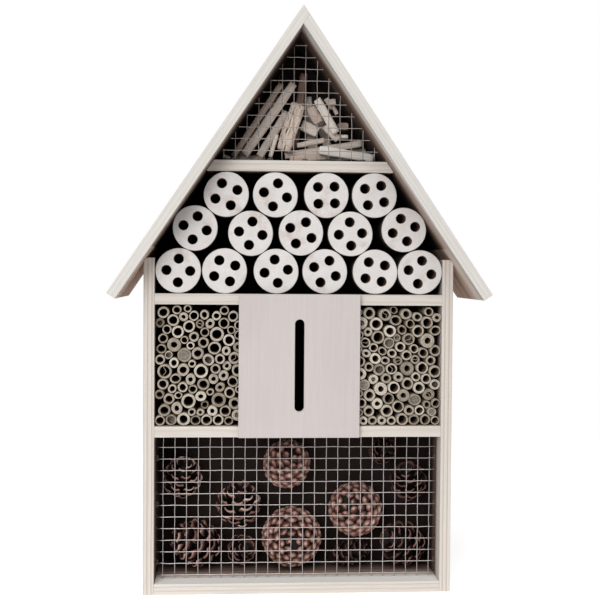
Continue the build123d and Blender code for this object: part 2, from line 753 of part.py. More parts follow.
def write(name, solids):
    """One STEP file per named piece; several solids are written as a group."""
    shape = solids[0] if len(solids) == 1 else Compound(children=solids)
    shape.label = name
    export_step(shape, f"parts/{name}.step")


def main():
    for name, (board, fasteners) in fastened_boards().items():
        write(name, [without(board, near(board, fasteners))])
    write("frame_nails", frame_nails())
    write("roof_nails", roof_nails())
    write("panel_nails", panel_nails())
    write("back_panel_nails", back_panel_nails())
    write("lower_mesh", [lower_mesh()])
    write("gable_mesh", [gable_mesh()])
    write("lower_mesh_staples", lower_mesh_staples())
    write("gable_mesh_staples", gable_mesh_staples())
    write("hanger_block", [hanger_block()])
    write("hanger_plate", [hanger_plate()])
    write("hanger_screws", hanger_screws())
    for number, (centre, turn) in enumerate(zip(log_centres(), LOG_TURNS), start=1):
        write(f"log_{number:02d}", [log(centre, turn)])
    write("left_bamboo_tubes", tube_bay(-1))
    write("right_bamboo_tubes", tube_bay(1))
    for number, cone in enumerate(PINE_CONES, start=1):
        write(f"pine_cone_{number:02d}", [pine_cone(*cone)])
    for name, values in GABLE_SLATS.items():
        write(name, [slat(*values)])
    write("wood_chips", [slat(*values) for values in WOOD_CHIPS])


main()
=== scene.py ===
"""Looks of the insect hotel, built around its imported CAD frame. Metres, Z up, front at -Y."""

import json
import random
from math import acos, atan2, copysign, cos, hypot, pi, radians, sin, sqrt, tan

import bmesh
import bpy
from mathutils import Matrix, Vector, noise


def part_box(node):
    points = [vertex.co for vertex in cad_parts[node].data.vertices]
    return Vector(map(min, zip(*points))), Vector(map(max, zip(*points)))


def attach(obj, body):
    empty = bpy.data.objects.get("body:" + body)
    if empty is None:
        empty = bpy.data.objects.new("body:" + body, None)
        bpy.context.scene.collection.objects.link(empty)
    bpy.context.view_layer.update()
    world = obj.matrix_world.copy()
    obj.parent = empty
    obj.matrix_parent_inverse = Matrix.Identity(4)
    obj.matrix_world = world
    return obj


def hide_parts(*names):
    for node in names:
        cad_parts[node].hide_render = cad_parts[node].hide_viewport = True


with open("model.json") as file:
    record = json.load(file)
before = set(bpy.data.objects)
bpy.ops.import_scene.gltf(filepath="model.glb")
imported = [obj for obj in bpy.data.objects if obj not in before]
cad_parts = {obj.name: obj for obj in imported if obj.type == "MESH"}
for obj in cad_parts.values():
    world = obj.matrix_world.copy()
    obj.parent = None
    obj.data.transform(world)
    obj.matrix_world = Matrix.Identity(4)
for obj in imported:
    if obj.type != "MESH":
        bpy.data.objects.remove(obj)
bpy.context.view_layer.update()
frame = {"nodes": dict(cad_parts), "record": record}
NODES = frame["nodes"]

MM = 0.001
BODY = "root"
TURN = 2 * pi
GOLDEN_ANGLE = radians(137.508)

# ---- places read from the frame ----
LEFT_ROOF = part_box("left_roof_board")
LOWER_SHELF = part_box("lower_shelf")
GABLE_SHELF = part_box("gable_shelf")
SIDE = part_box("right_side_board")
BACK_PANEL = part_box("back_panel")
SLOPE = atan2(LEFT_ROOF[1][2] - LEFT_ROOF[0][2], LEFT_ROOF[1][0] - LEFT_ROOF[0][0])


# ---- material building ----
# Sockets of a Mix node: the factor and two colours that go in, and the colour that comes out.
MIX_INPUTS = (0, 6, 7)
MIX_OUTPUT = 2


class Look:
    """A procedural material and short names for the nodes that it needs."""

    def __init__(self, name, roughness=0.7, metallic=0.0, specular=0.3):
        self.material = bpy.data.materials.new(name)
        self.material.use_nodes = True
        self.tree = self.material.node_tree
        self.shader = self.tree.nodes["Principled BSDF"]
        self.feed(self.shader, Roughness=roughness, Metallic=metallic, Specular_IOR_Level=specular)

    def node(self, kind, **settings):
        made = self.tree.nodes.new(kind)
        for key, value in settings.items():
            setattr(made, key, value)
        return made

    def put(self, socket, value):
        """Give an input a constant, or link another node's output to it."""
        if isinstance(value, bpy.types.NodeSocket):
            self.tree.links.new(value, socket)
        else:
            socket.default_value = value

    def feed(self, made, **values):
        """Set or link a node's inputs by name, with _ for a space."""
        for key, value in values.items():
            self.put(made.inputs[key.replace("_", " ")], value)

    def place(self):
        return self.node("ShaderNodeTexCoord").outputs["Object"]

    def stored(self, name, output="Vector"):
        return self.node("ShaderNodeAttribute", attribute_name=name).outputs[output]

    def moved(self, vector, turn=(0, 0, 0), scale=(1, 1, 1)):
        made = self.node("ShaderNodeMapping")
        self.feed(made, Vector=vector, Rotation=turn, Scale=scale)
        return made.outputs["Vector"]

    def noise(self, vector, scale, detail=3.0, roughness=0.55, distortion=0.0):
        made = self.node("ShaderNodeTexNoise")
        self.feed(made, Vector=vector, Scale=scale, Detail=detail)
        self.feed(made, Roughness=roughness, Distortion=distortion)
        return made.outputs["Fac"]

    def stretched(self, vector, scale, **how):
        """Noise with its own scale along each axis."""
        return self.noise(self.moved(vector, scale=scale), 1.0, **how)

    def cells(self, vector, scale):
        made = self.node("ShaderNodeTexVoronoi")
        self.feed(made, Vector=vector, Scale=scale)
        return made.outputs["Distance"]

    def math(self, operation, first, second=0.0):
        made = self.node("ShaderNodeMath", operation=operation)
        self.put(made.inputs[0], first)
        self.put(made.inputs[1], second)
        return made.outputs["Value"]

    def plus(self, first, second):
        return self.math("ADD", first, second)

    def minus(self, first, second):
        return self.math("SUBTRACT", first, second)

    def times(self, first, second):
        return self.math("MULTIPLY", first, second)

    def hypotenuse(self, first, second):
        return self.math("SQRT", self.plus(self.times(first, first), self.times(second, second)))

    def vector(self, operation, first, second):
        """The outputs of a vector calculation."""
        made = self.node("ShaderNodeVectorMath", operation=operation)
        self.put(made.inputs[0], first)
        self.put(made.inputs[1], second)
        return made.outputs

    def ramp(self, value, *stops):
        """Colour ramp through (position, colour) stops; a colour may be one number."""
        made = self.node("ShaderNodeValToRGB")
        elements = made.color_ramp.elements
        while len(elements) < len(stops):
            elements.new(0.5)
        for element, (position, colour) in zip(elements, stops):
            element.position = position
            element.color = (*colour, 1) if isinstance(colour, tuple) else (colour, colour, colour, 1)
        self.put(made.inputs["Fac"], value)
        return made.outputs["Color"]

    def rise(self, value, low, high):
        """Ramp from 0 at a low value to 1 at a high one."""
        return self.ramp(value, (low, 0.0), (high, 1.0))

    def varied(self, value, by, amount):
        """A value, changed by up to half the amount either way as another runs from 0 to 1."""
        return self.plus(value, self.times(self.minus(by, 0.5), amount))

    def mix(self, factor, first, second, blend="MIX"):
        made = self.node("ShaderNodeMix", data_type="RGBA", blend_type=blend)
        for place, value in zip(MIX_INPUTS, (factor, first, second)):
            self.put(made.inputs[place], (*value, 1) if isinstance(value, tuple) else value)
        return made.outputs[MIX_OUTPUT]

    def darkened(self, colour, by):
        return self.mix(1.0, colour, by, blend="MULTIPLY")

    def split(self, vector):
        made = self.node("ShaderNodeSeparateXYZ")
        self.feed(made, Vector=vector)
        return made.outputs

    def colour(self, value):
        self.put(self.shader.inputs["Base Color"], value)

    def roughness(self, value, low, high):
        made = self.node("ShaderNodeMapRange")
        self.feed(made, Value=value, To_Min=low, To_Max=high)
        self.put(self.shader.inputs["Roughness"], made.outputs["Result"])

    def bump(self, height, depth, strength):
        """Relief of a depth in millimetres."""
        made = self.node("ShaderNodeBump")
        self.feed(made, Height=height, Distance=depth * MM, Strength=strength)
        self.put(self.shader.inputs["Normal"], made.outputs["Normal"])


SKIN = 0.5 * MM
# Painted shade: colours that multiply the wood of inner faces, by share of the way to where it is darkest.
BAY_SHADE = (
    (0.0, 1.0), (0.12, (0.84, 0.74, 0.68)), (0.45, (0.30, 0.21, 0.175)), (1.0, (0.045, 0.032, 0.028)),
)
# Milder painted shade under the eaves, outside the side boards.
EAVE_SHADE = ((0.0, 1.0), (0.5, (0.80, 0.62, 0.52)), (1.0, (0.72, 0.53, 0.43)))
LATE_WOOD_LEAD = 0.10
INNER_LINES = 0.55
INNER_LINE_COLOUR = (0.24, 0.15, 0.11)
# Growth rings: rings in a metre, and how far they wander.
PINE_RINGS = 290.0
PINE_WANDER = 6 * MM
PANEL_RINGS = 150.0
PANEL_WANDER = 12 * MM
LOG_RINGS = 520.0
LOG_WANDER = 6 * MM
LOG_PITH_SPREAD = 8 * MM


def paint_shade_and_light(look, wood, late, facing, both, front, reach, painted_light):
    """Painted shade: brown and darken the faces that look along a direction, more with depth behind the
    front edge.

    Only what lies between the side boards goes dark, and the eaves outside get a milder painted shade;
    the painted-light share pales the face in front of that."""
    normal = look.node("ShaderNodeTexCoord").outputs["Normal"]
    turned = look.vector("DOT_PRODUCT", normal, facing)["Value"]
    if both:
        turned = look.math("ABSOLUTE", turned)
    inner = look.math("GREATER_THAN", turned, 0.5)
    x, y, z = look.split(look.place())
    within = look.math("LESS_THAN", look.math("ABSOLUTE", x), SIDE[0][0] + SKIN)
    depth = look.math("DIVIDE", look.minus(y, front), reach)
    shade_depth = look.plus(depth, look.times(late, LATE_WOOD_LEAD))
    # Painted shade: darker with depth behind the front edge, deep in the bays and milder under the eaves.
    dark = look.ramp(shade_depth, *BAY_SHADE)
    eave = look.ramp(shade_depth, *EAVE_SHADE)
    # Painted light: the face is paled towards near-white where light falls on it.
    pale = look.mix(painted_light, wood, PAINTED_LIGHT_COLOUR)
    lined = look.mix(look.times(late, INNER_LINES * (1 - painted_light)), pale, INNER_LINE_COLOUR)
    return look.mix(inner, wood, look.darkened(lined, look.mix(within, eave, dark)))


def pine(name, turn, pith, tones, streak, shade_and_light):
    """Sawn pine: growth rings around a pith line, with fibres along the board.

    turn lays the board's length along local X; pith is the pith's place across it."""
    pale, mid, dark = tones
    look = Look(name, roughness=0.72, specular=0.25)
    along = look.moved(look.place(), turn=turn)
    wave = look.stretched(along, (9, 40, 40), detail=2)
    warp = look.times(wave, PINE_WANDER)
    x, y, z = look.split(along)
    across = look.plus(look.minus(y, pith[0]), warp)
    up = look.minus(z, pith[1])
    distance = look.hypotenuse(across, up)
    ring = look.math("FRACT", look.times(distance, PINE_RINGS))
    late = look.ramp(ring, (0.0, 0.0), (0.55, 0.15), (0.86, 1.0), (1.0, 0.1))
    fibre = look.stretched(along, (28, 900, 900), detail=4, roughness=0.65)
    blotch = look.stretched(along, (6, 22, 22), detail=3)
    base = look.mix(look.rise(blotch, 0.3, 0.7), pale, mid)
    grown = look.times(look.times(late, fibre), streak * 1.6)
    ringed = look.mix(grown, base, dark)
    fine = look.ramp(fibre, (0.35, 0.90), (0.62, 1.0))
    wood = look.darkened(ringed, fine)
    # Painted shade on the faces inside the bays and under the eaves, and painted light where a board is
    # given it.
    look.colour(paint_shade_and_light(look, wood, late, *shade_and_light))
    look.roughness(fibre, 0.62, 0.85)
    height = look.plus(look.times(fibre, 0.7), look.times(late, 0.3))
    look.bump(height, 0.4, 0.55)
    return look


ROOF_TONES = ((0.60, 0.577, 0.55), (0.57, 0.545, 0.51), (0.40, 0.32, 0.25))
FRAME_TONES = ((0.585, 0.55, 0.51), (0.55, 0.51, 0.465), (0.36, 0.26, 0.19))
# Near-white for painted light, and the share of it that the bay floor gets where light falls on its front.
PAINTED_LIGHT_COLOUR = (0.88, 0.88, 0.86)
BAY_FLOOR_PAINTED_LIGHT = 0.45
# Painted shade: the depth over which it deepens, and the depth behind a board's front edge that stays free
# of it.
SHADE_REACH = 26 * MM
ROOF_SHADE_REACH = 40 * MM
RIGHT_ROOF_PALE = 12 * MM
RIGHT_SIDE_PALE = 12 * MM
BAY_FLOOR_PALE = 18 * MM
BAY_FLOOR_REACH = 34 * MM
# Depth free of painted shade, depth over which it deepens, and share of painted light, for the boards that
# differ.
SHADE_AND_LIGHT_PAINTING = {
    "base_board": (BAY_FLOOR_PALE, BAY_FLOOR_REACH, BAY_FLOOR_PAINTED_LIGHT),
    # The hanger block is dark from its front edge back: painted shade all over.
    "hanger_block": (-SHADE_REACH, SHADE_REACH, 0.0),
    "left_roof_board": (0.0, ROOF_SHADE_REACH, 0.0),
    "right_roof_board": (RIGHT_ROOF_PALE, ROOF_SHADE_REACH, 0.0),
    "right_side_board": (RIGHT_SIDE_PALE, SHADE_REACH, 0.0),
}


# Turns that lay a board's length along local X.
LEVEL_GRAIN = (0, 0, 0)
UPRIGHT_GRAIN = (0, pi / 2, 0)


def sloping_grain(side):
    return (0, side * SLOPE, 0)


def under_slope(side):
    """Direction that a roof board's lower face looks in."""
    return (side * sin(SLOPE), 0, -cos(SLOPE))


def board_materials():
    """One pine material for each board, so that no two have the same grain.

    Each board has its grain's turn, its pith's place, the strength of its streaks and the direction that
    its inner face looks in, where it takes painted shade; shelves and dividers have a bay on both sides."""
    level = (0, 0, 1)
    sideways = (1, 0, 0)
    looks = {
        "left_roof_board": (sloping_grain(1), (0.03, -0.05), 0.25, under_slope(1)),
        "right_roof_board": (sloping_grain(-1), (-0.02, 0.045), 0.30, under_slope(-1)),
        "left_side_board": (UPRIGHT_GRAIN, (0.02, -0.06), 0.85, sideways),
        "right_side_board": (UPRIGHT_GRAIN, (-0.03, 0.05), 0.90, (-1, 0, 0)),
        "base_board": (LEVEL_GRAIN, (-0.01, -0.05), 0.55, level),
        "lower_shelf": (LEVEL_GRAIN, (0.05, 0.11), 0.35, level),
        "upper_shelf": (LEVEL_GRAIN, (-0.06, 0.215), 0.40, level),
        "gable_shelf": (LEVEL_GRAIN, (0.02, 0.31), 0.45, level),
        "left_divider": (UPRIGHT_GRAIN, (0.05, 0.02), 0.45, sideways),
        "right_divider": (UPRIGHT_GRAIN, (-0.05, -0.02), 0.45, sideways),
        "hanger_block": (LEVEL_GRAIN, (0.02, 0.40), 0.60, (0, -1, 0)),
    }
    for node, (turn, pith, streak, facing) in looks.items():
        tones = ROOF_TONES if "roof" in node else FRAME_TONES
        both = "shelf" in node or "divider" in node
        # Where the board's painted shade starts, how far it reaches, and its share of painted light.
        pale, reach, painted_light = SHADE_AND_LIGHT_PAINTING.get(node, (0.0, SHADE_REACH, 0.0))
        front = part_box(node)[0][1] + pale
        look = pine(node + "_pine", turn, pith, tones, streak, (facing, both, front, reach, painted_light))
        dress(node, look)


def dress(node, look):
    """Give a CAD node a new material."""
    for slot in NODES[node].material_slots:
        slot.material = look.material


PANEL_TONES = ((0.485, 0.441, 0.428), (0.455, 0.412, 0.398))
VENEER_TONES = ((0.3, (0.62, 0.50, 0.35)), (0.55, (0.70, 0.59, 0.44)), (0.7, (0.56, 0.43, 0.28)))


def panel_material():
    """Planed board with faint upright grain and a slightly pink tone."""
    look = Look("panel_wood", roughness=0.68, specular=0.25)
    place = look.place()
    x, y, z = look.split(place)
    drift = look.stretched(place, (30, 30, 5), detail=2)
    shifted = look.plus(x, look.times(drift, PANEL_WANDER))
    ring = look.math("FRACT", look.times(shifted, PANEL_RINGS))
    late = look.ramp(ring, (0.0, 0.0), (0.6, 0.2), (0.9, 1.0), (1.0, 0.0))
    fibre = look.stretched(place, (700, 700, 22), detail=4, roughness=0.6)
    blotch = look.stretched(place, (14, 14, 6), detail=3)
    base = look.mix(look.rise(blotch, 0.35, 0.65), *PANEL_TONES)
    lined = look.mix(look.times(look.times(late, fibre), 0.12), base, (0.37, 0.30, 0.265))
    fine = look.ramp(fibre, (0.35, 0.95), (0.62, 1.0))
    look.colour(look.darkened(lined, fine))
    look.bump(fibre, 0.3, 0.4)
    return look


def plywood_material():
    """Back panel: pale veneer outside, and a near-black inner face that is painted shade at the back of the
    bays.
    """
    look = Look("plywood_sheet", roughness=0.85, specular=0.06)
    place = look.place()
    x, y, z = look.split(place)
    fibre = look.stretched(place, (420, 420, 14), detail=4, roughness=0.6)
    flame = look.stretched(place, (22, 22, 3), detail=3, distortion=0.8)
    veneer = look.darkened(look.ramp(flame, *VENEER_TONES), look.ramp(fibre, (0.3, 0.8), (0.65, 1.0)))
    # Painted shade: the inner face is near black, where the back of the bays lies in shade.
    inside = look.mix(flame, (0.014, 0.010, 0.009), (0.028, 0.019, 0.016))
    outside = look.math("GREATER_THAN", y, BACK_PANEL[0][1] + SKIN)
    look.colour(look.mix(outside, inside, veneer))
    look.bump(fibre, 0.3, 0.5)
    return look


# Colour and roughness of each metal.
METALS = {
    "zinc_nail": ((0.52, 0.52, 0.53), 0.45),
    "dull_staple": ((0.17, 0.145, 0.135), 0.6),
    "zinc_plate": ((0.60, 0.60, 0.58), 0.38),
    "galvanised_wire": ((0.58, 0.53, 0.515), 0.42),
    # Darker copy of the galvanised wire for the gable: painted shade under the roof.
    "weathered_wire": ((0.44, 0.385, 0.36), 0.5),
}
MOTTLE_SHADE = 0.72


def metal_material(name):
    """Zinc-coated steel with a faint mottle."""
    colour, roughness = METALS[name]
    look = Look(name, roughness=roughness, metallic=1.0, specular=0.5)
    mottle = look.noise(look.place(), 900.0, detail=3)
    dark = tuple(MOTTLE_SHADE * channel for channel in colour)
    look.colour(look.mix(look.rise(mottle, 0.35, 0.65), dark, colour))
    look.roughness(mottle, roughness - 0.08, roughness + 0.12)
    look.bump(mottle, 0.1, 0.3)
    return look


# ---- mesh building ----
def add_object(name, data):
    made = bpy.data.objects.new(name, data)
    bpy.context.scene.collection.objects.link(made)
    return made


class Shape:
    """A mesh under construction, with a stored local place and tone for each vertex."""

    def __init__(self):
        self.mesh = bmesh.new()
        self.grain = self.mesh.verts.layers.float_vector.new("grain")
        self.tone = self.mesh.verts.layers.float.new("tone")

    def point(self, position, grain=(0, 0, 0), tone=0.5):
        vertex = self.mesh.verts.new(position)
        vertex[self.grain] = grain
        vertex[self.tone] = tone
        return vertex

    def bridge(self, first, second, slot=0):
        """Quads between two closed rows of vertices of the same length."""
        for step in range(len(first)):
            following = (step + 1) % len(first)
            self.cap((first[step], first[following], second[following], second[step]), slot, smooth=True)

    def loft(self, rows, slot=0):
        """Quads along a series of closed rows."""
        for first, second in zip(rows, rows[1:]):
            self.bridge(first, second, slot)

    def cap(self, ring, slot=0, smooth=False):
        face = self.mesh.faces.new(ring)
        face.material_index = slot
        face.smooth = smooth

    def fan(self, ring, tip, slot=0, smooth=False):
        """Triangles from a ring to one point."""
        for step, vertex in enumerate(ring):
            self.cap((vertex, ring[(step + 1) % len(ring)], tip), slot, smooth)

    def fill(self, loops, slot=0):
        """Flat face inside the first loop and outside the others."""
        edges = []
        for loop in loops:
            for step, vertex in enumerate(loop):
                following = loop[(step + 1) % len(loop)]
                edge = self.mesh.edges.get((vertex, following)) or self.mesh.edges.new((vertex, following))
                edges.append(edge)
        made = bmesh.ops.triangle_fill(self.mesh, use_beauty=True, use_dissolve=False, edges=edges)
        for item in made["geom"]:
            if isinstance(item, bmesh.types.BMFace):
                item.material_index = slot

    def finish(self, name, looks, node):
        """Turn the shape into a piece that stands for a CAD node."""
        bmesh.ops.recalc_face_normals(self.mesh, faces=self.mesh.faces)
        data = bpy.data.meshes.new(name)
        self.mesh.to_mesh(data)
        self.mesh.free()
        piece = add_object(name, data)
        for look in looks:
            data.materials.append(look.material)
        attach(piece, BODY)
        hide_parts(node)
        return piece


def ring_points(count, radius, wobble=0.0, phase=0.0):
    """(x, z) points of a slightly uneven circle that stays inside its radius."""
    points = []
    for step in range(count):
        angle = TURN * step / count
        dent = wobble * (1 + 0.6 * sin(2 * angle + phase) + 0.4 * sin(3 * angle + 2.3 * phase)) / 2
        points.append(((radius - dent) * cos(angle), (radius - dent) * sin(angle)))
    return points


# ---- logs ----
HOLE_RADIUS = 4.0 * MM
HOLE_DEPTH = 55.0 * MM
LOG_SEGMENTS = 96
HOLE_SEGMENTS = 32
LOG_COUNT = 15
LOG_SEED = 100
LOG_SHADE_REACH = 14 * MM
LOG_WOBBLE = 0.45 * MM
LOG_NICK = 0.12 * MM
NICK_PITCH = 0.9
# Depth behind the front face, or ahead of the back one, and inset of the rings of a log's outside, in mm.
LOG_FRONT_RINGS = ((0.0, 0.5), (0.45, 0.05), (1.2, 0.0), (20.0, 0.1), (42.0, 0.0))
LOG_BACK_RINGS = ((0.6, 0.05), (0.0, 0.5))
# Depth in mm and share of the drill's radius down a hole, and the length of the drill's tip.
HOLE_RINGS = ((0.0, 1.05), (0.35, 1.0), (12.0, 1.0))
DRILL_TIP = 3.0
HOLES = 4
BORE_SHADE = 0.45


def log_end_material():
    """Sawn end grain: faint rings and pores, a few stains and specks."""
    look = Look("log_end_grain", roughness=0.78, specular=0.2)
    grain = look.stored("grain")
    tone = look.stored("tone", "Fac")
    shift = look.node("ShaderNodeCombineXYZ")
    look.feed(shift, X=look.times(tone, 3.1), Y=look.times(tone, 7.7), Z=tone)
    spot = look.vector("ADD", grain, shift.outputs["Vector"])["Vector"]
    x, y, z = look.split(grain)
    bend = look.varied(0.0, look.noise(spot, 60.0, detail=2), LOG_WANDER)
    side = look.plus(look.varied(x, tone, LOG_PITH_SPREAD), bend)
    rise = look.plus(z, bend)
    distance = look.hypotenuse(side, rise)
    ring = look.math("FRACT", look.times(distance, LOG_RINGS))
    late = look.ramp(ring, (0.0, 0.0), (0.5, 0.2), (0.9, 1.0), (1.0, 0.1))
    pores = look.noise(spot, 1500.0, detail=3, roughness=0.7)
    cloud = look.noise(spot, 90.0, detail=3)
    base = look.mix(look.rise(cloud, 0.35, 0.65), (0.62, 0.60, 0.588), (0.575, 0.548, 0.53))
    ringed = look.mix(look.times(late, 0.16), base, (0.40, 0.32, 0.24))
    stain = look.ramp(look.noise(spot, 34.0, detail=4, roughness=0.6), (0.57, 0.0), (0.70, 1.0))
    stained = look.mix(look.times(stain, 0.60), ringed, (0.38, 0.27, 0.235))
    speck = look.ramp(look.cells(spot, 260.0), (0.06, 1.0), (0.11, 0.0))
    specked = look.mix(look.times(speck, 0.30), stained, (0.35, 0.27, 0.20))
    look.colour(look.darkened(specked, look.ramp(pores, (0.3, 0.90), (0.65, 1.0))))
    height = look.plus(pores, look.times(late, -0.4))
    look.bump(height, 0.3, 0.45)
    return look


def log_side_material():
    """Peeled outside of a log, with long fibres and patches of inner bark, and painted shade that darkens it
    behind the front face.
    """
    look = Look("log_peeled_side", roughness=0.8, specular=0.2)
    place = look.stored("grain")
    fibre = look.stretched(place, (500, 25, 500), detail=4, roughness=0.65)
    patch = look.stretched(place, (60, 14, 60), detail=4)
    wood = look.ramp(fibre, (0.3, (0.38, 0.31, 0.25)), (0.6, (0.54, 0.47, 0.39)))
    skin = look.mix(look.ramp(patch, (0.5, 0.0), (0.62, 0.9)), wood, (0.27, 0.20, 0.155))
    x, depth, z = look.split(place)
    # Painted shade: the side goes dark with depth behind the log's front face, where the logs hide each
    # other.
    shade = look.ramp(look.math("DIVIDE", depth, LOG_SHADE_REACH), (0.0, 0.7), (0.3, 0.2), (1.0, 0.05))
    look.colour(look.darkened(skin, shade))
    look.bump(fibre, 0.6, 0.6)
    return look


def bore_material(name, colour):
    """Wall of a drilled or hollow bore, darkened as painted shade, with streaks along it."""
    look = Look(name, roughness=0.9, specular=0.1)
    place = look.stored("grain")
    streak = look.stretched(place, (700, 60, 700), detail=3)
    dark = tuple(BORE_SHADE * channel for channel in colour)
    look.colour(look.mix(look.rise(streak, 0.35, 0.7), dark, colour))
    look.bump(streak, 0.4, 0.5)
    return look


def drilled_turns():
    """Angle and reach of each log's hole pattern, from its first stated hole."""
    turns = {}
    for opening in frame["record"]["physics"]["openings"]:
        name = opening["name"]
        if not name.endswith("_hole_1"):
            continue
        node = name[: -len("_hole_1")]
        low, high = opening["box_m"]
        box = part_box(node)
        across = (low[0] + high[0]) / 2 - (box[0][0] + box[1][0]) / 2
        up = (low[2] + high[2]) / 2 - (box[0][2] + box[1][2]) / 2
        turns[node] = (atan2(up, across), hypot(across, up))
    return turns


def ring_row(shape, outline, centre, depth, tone):
    """Row of vertices around an outline of (x, z) points at one depth."""
    row = []
    for x, z in outline:
        spot = (centre[0] + x, depth, centre[1] + z)
        row.append(shape.point(spot, grain=spot, tone=tone))
    return row


def log_outline(radius, inset, phase, seed):
    """Slightly uneven, faintly splintered outline of a log."""
    outline = ring_points(LOG_SEGMENTS, radius - inset, wobble=LOG_WOBBLE, phase=phase)
    rough = []
    for step, (x, z) in enumerate(outline):
        nick = noise.noise(Vector((step * NICK_PITCH, seed, inset / MM))) * LOG_NICK
        share = 1 - max(0, nick) / radius
        rough.append((x * share, z * share))
    return rough


def build_log(number, turns, looks):
    """Log section with chamfered hole mouths and drill-tip bottoms."""
    node = f"log_{number:02d}"
    low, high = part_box(node)
    chance = random.Random(LOG_SEED + number)
    radius = (high[0] - low[0]) / 2
    length = high[1] - low[1]
    phase = chance.uniform(0, TURN)
    tone = chance.random()
    shape = Shape()
    rings = [(depth * MM, inset) for depth, inset in LOG_FRONT_RINGS]
    rings += [(length - depth * MM, inset) for depth, inset in LOG_BACK_RINGS]
    rows = []
    for depth, inset in rings:
        outline = log_outline(radius, inset * MM, phase, number)
        rows.append(ring_row(shape, outline, (0, 0), depth, tone))
    shape.bridge(rows[0], rows[1], slot=0)
    shape.loft(rows[1:], slot=1)
    shape.cap(rows[-1], slot=0)
    angle, reach = turns[node]
    mouths = []
    for hole in range(HOLES):
        spot = angle + hole * TURN / HOLES
        centre = (reach * cos(spot), reach * sin(spot))
        mouths.append(drilled_hole(shape, centre, tone, chance))
    shape.fill([rows[0], *mouths], slot=0)
    piece = shape.finish(f"{node}_wood", looks, node)
    piece.location = ((low[0] + high[0]) / 2, low[1], (low[2] + high[2]) / 2)


def drilled_hole(shape, centre, tone, chance):
    """Bore wall from mouth to drill tip; returns the mouth's row."""
    rows = []
    for depth, share in (*HOLE_RINGS, (HOLE_DEPTH / MM - DRILL_TIP, 1.0)):
        outline = ring_points(HOLE_SEGMENTS, HOLE_RADIUS * share)
        if depth == 0.0:
            outline = [(x * (1 + chance.uniform(-0.02, 0.03)), z) for x, z in outline]
        rows.append(ring_row(shape, outline, centre, depth * MM, tone))
    shape.loft(rows, slot=2)
    tip = shape.point((centre[0], HOLE_DEPTH, centre[1]), tone=tone)
    shape.fan(rows[-1], tip, slot=2)
    return rows[0]


def build_logs():
    turns = drilled_turns()
    # The log bores' dark brown is painted shade.
    looks = (log_end_material(), log_side_material(), bore_material("log_bore", (0.16, 0.10, 0.07)))
    for number in range(1, LOG_COUNT + 1):
        build_log(number, turns, looks)


# ---- cane tubes ----
TUBE_SEGMENTS = 28
CANE_SEED = 40
CANE_TONE = (0.60, 0.20)
CANE_SQUASHES = (1.0, 1.0, 0.98, 0.95, 0.88)
BORE_SHARES = (0.45, 0.58, 0.62, 0.66, 0.69, 0.72)
CUT_TILT = 0.05
# Mean and spread of how far a cane's cut end stands back, and depth where the cut no longer matters, in mm.
SET_BACK = (0.8, 1.4)
STILL_DEPTH = 14
SKIN_WOBBLE = 0.25 * MM
BORE_WOBBLE = 0.35 * MM
PITH_WOBBLE = 0.3 * MM
KNOT_CHANCE = 0.13
KNOT_DEPTHS = (0.8, 7)
# Share of the radius and sag in mm of the rings of a knot, and how far its middle sags.
KNOT_RINGS = ((0.35, 0.45), (0.7, 0.2), (1.04, 0.0))
KNOT_SAG = 0.5 * MM
SHRED_CHANCE = 0.08
SHRED_STEPS = 7
SHRED_HALF_WIDTH = 0.3 * MM
# Side and depth in mm of the corners of a shred's section.
SHRED_SECTION = ((-1, 0.4), (1, 0.4), (1, 4.0), (-1, 4.0))
WALL_SHADE = 0.55


def cane_end_material():
    """Cut end of a cane: pale, fibrous, a little darker in some tubes."""
    look = Look("cane_cut_end", roughness=0.82, specular=0.2)
    place = look.stored("grain")
    tone = look.stored("tone", "Fac")
    pith = look.cells(look.moved(place, scale=(1, 0.2, 1)), 2300.0)
    cloud = look.noise(place, 300.0, detail=3)
    tint = look.plus(look.times(tone, 0.75), look.times(cloud, 0.4))
    colour = look.ramp(
        tint, (0.2, (0.16, 0.13, 0.10)), (0.5, (0.36, 0.32, 0.265)), (0.85, (0.60, 0.555, 0.485))
    )
    look.colour(look.darkened(colour, look.ramp(pith, (0.1, 0.62), (0.45, 1.0))))
    look.bump(pith, 0.3, 0.7)
    return look


def cane_skin_material():
    """Smooth outside of a cane, with fine lines along it."""
    look = Look("cane_skin", roughness=0.5, specular=0.35)
    place = look.stored("grain")
    tone = look.stored("tone", "Fac")
    line = look.stretched(place, (1400, 18, 1400), detail=3)
    tint = look.plus(look.times(tone, 0.6), look.times(line, 0.5))
    look.colour(look.ramp(tint, (0.25, (0.20, 0.15, 0.10)), (0.8, (0.44, 0.38, 0.29))))
    look.bump(line, 0.2, 0.4)
    return look


def membrane_material():
    """Grey-brown pith that closes a cane at a knot."""
    look = Look("cane_membrane", roughness=0.9, specular=0.1)
    fluff = look.noise(look.stored("grain"), 900.0, detail=4, roughness=0.7)
    look.colour(look.ramp(fluff, (0.3, (0.10, 0.08, 0.065)), (0.7, (0.36, 0.32, 0.27))))
    look.bump(fluff, 0.8, 0.8)
    return look


def islands(node):
    """Corner points of each separate solid of a CAD node."""
    grid = bmesh.new()
    grid.from_mesh(NODES[node].data)
    bmesh.ops.remove_doubles(grid, verts=grid.verts, dist=1e-6)
    seen = set()
    groups = []
    for start in grid.verts:
        if start in seen:
            continue
        seen.add(start)
        waiting = [start]
        group = []
        while waiting:
            vertex = waiting.pop()
            group.append(vertex.co.copy())
            for edge in vertex.link_edges:
                other = edge.other_vert(vertex)
                if other not in seen:
                    seen.add(other)
                    waiting.append(other)
        groups.append(group)
    grid.free()
    return groups


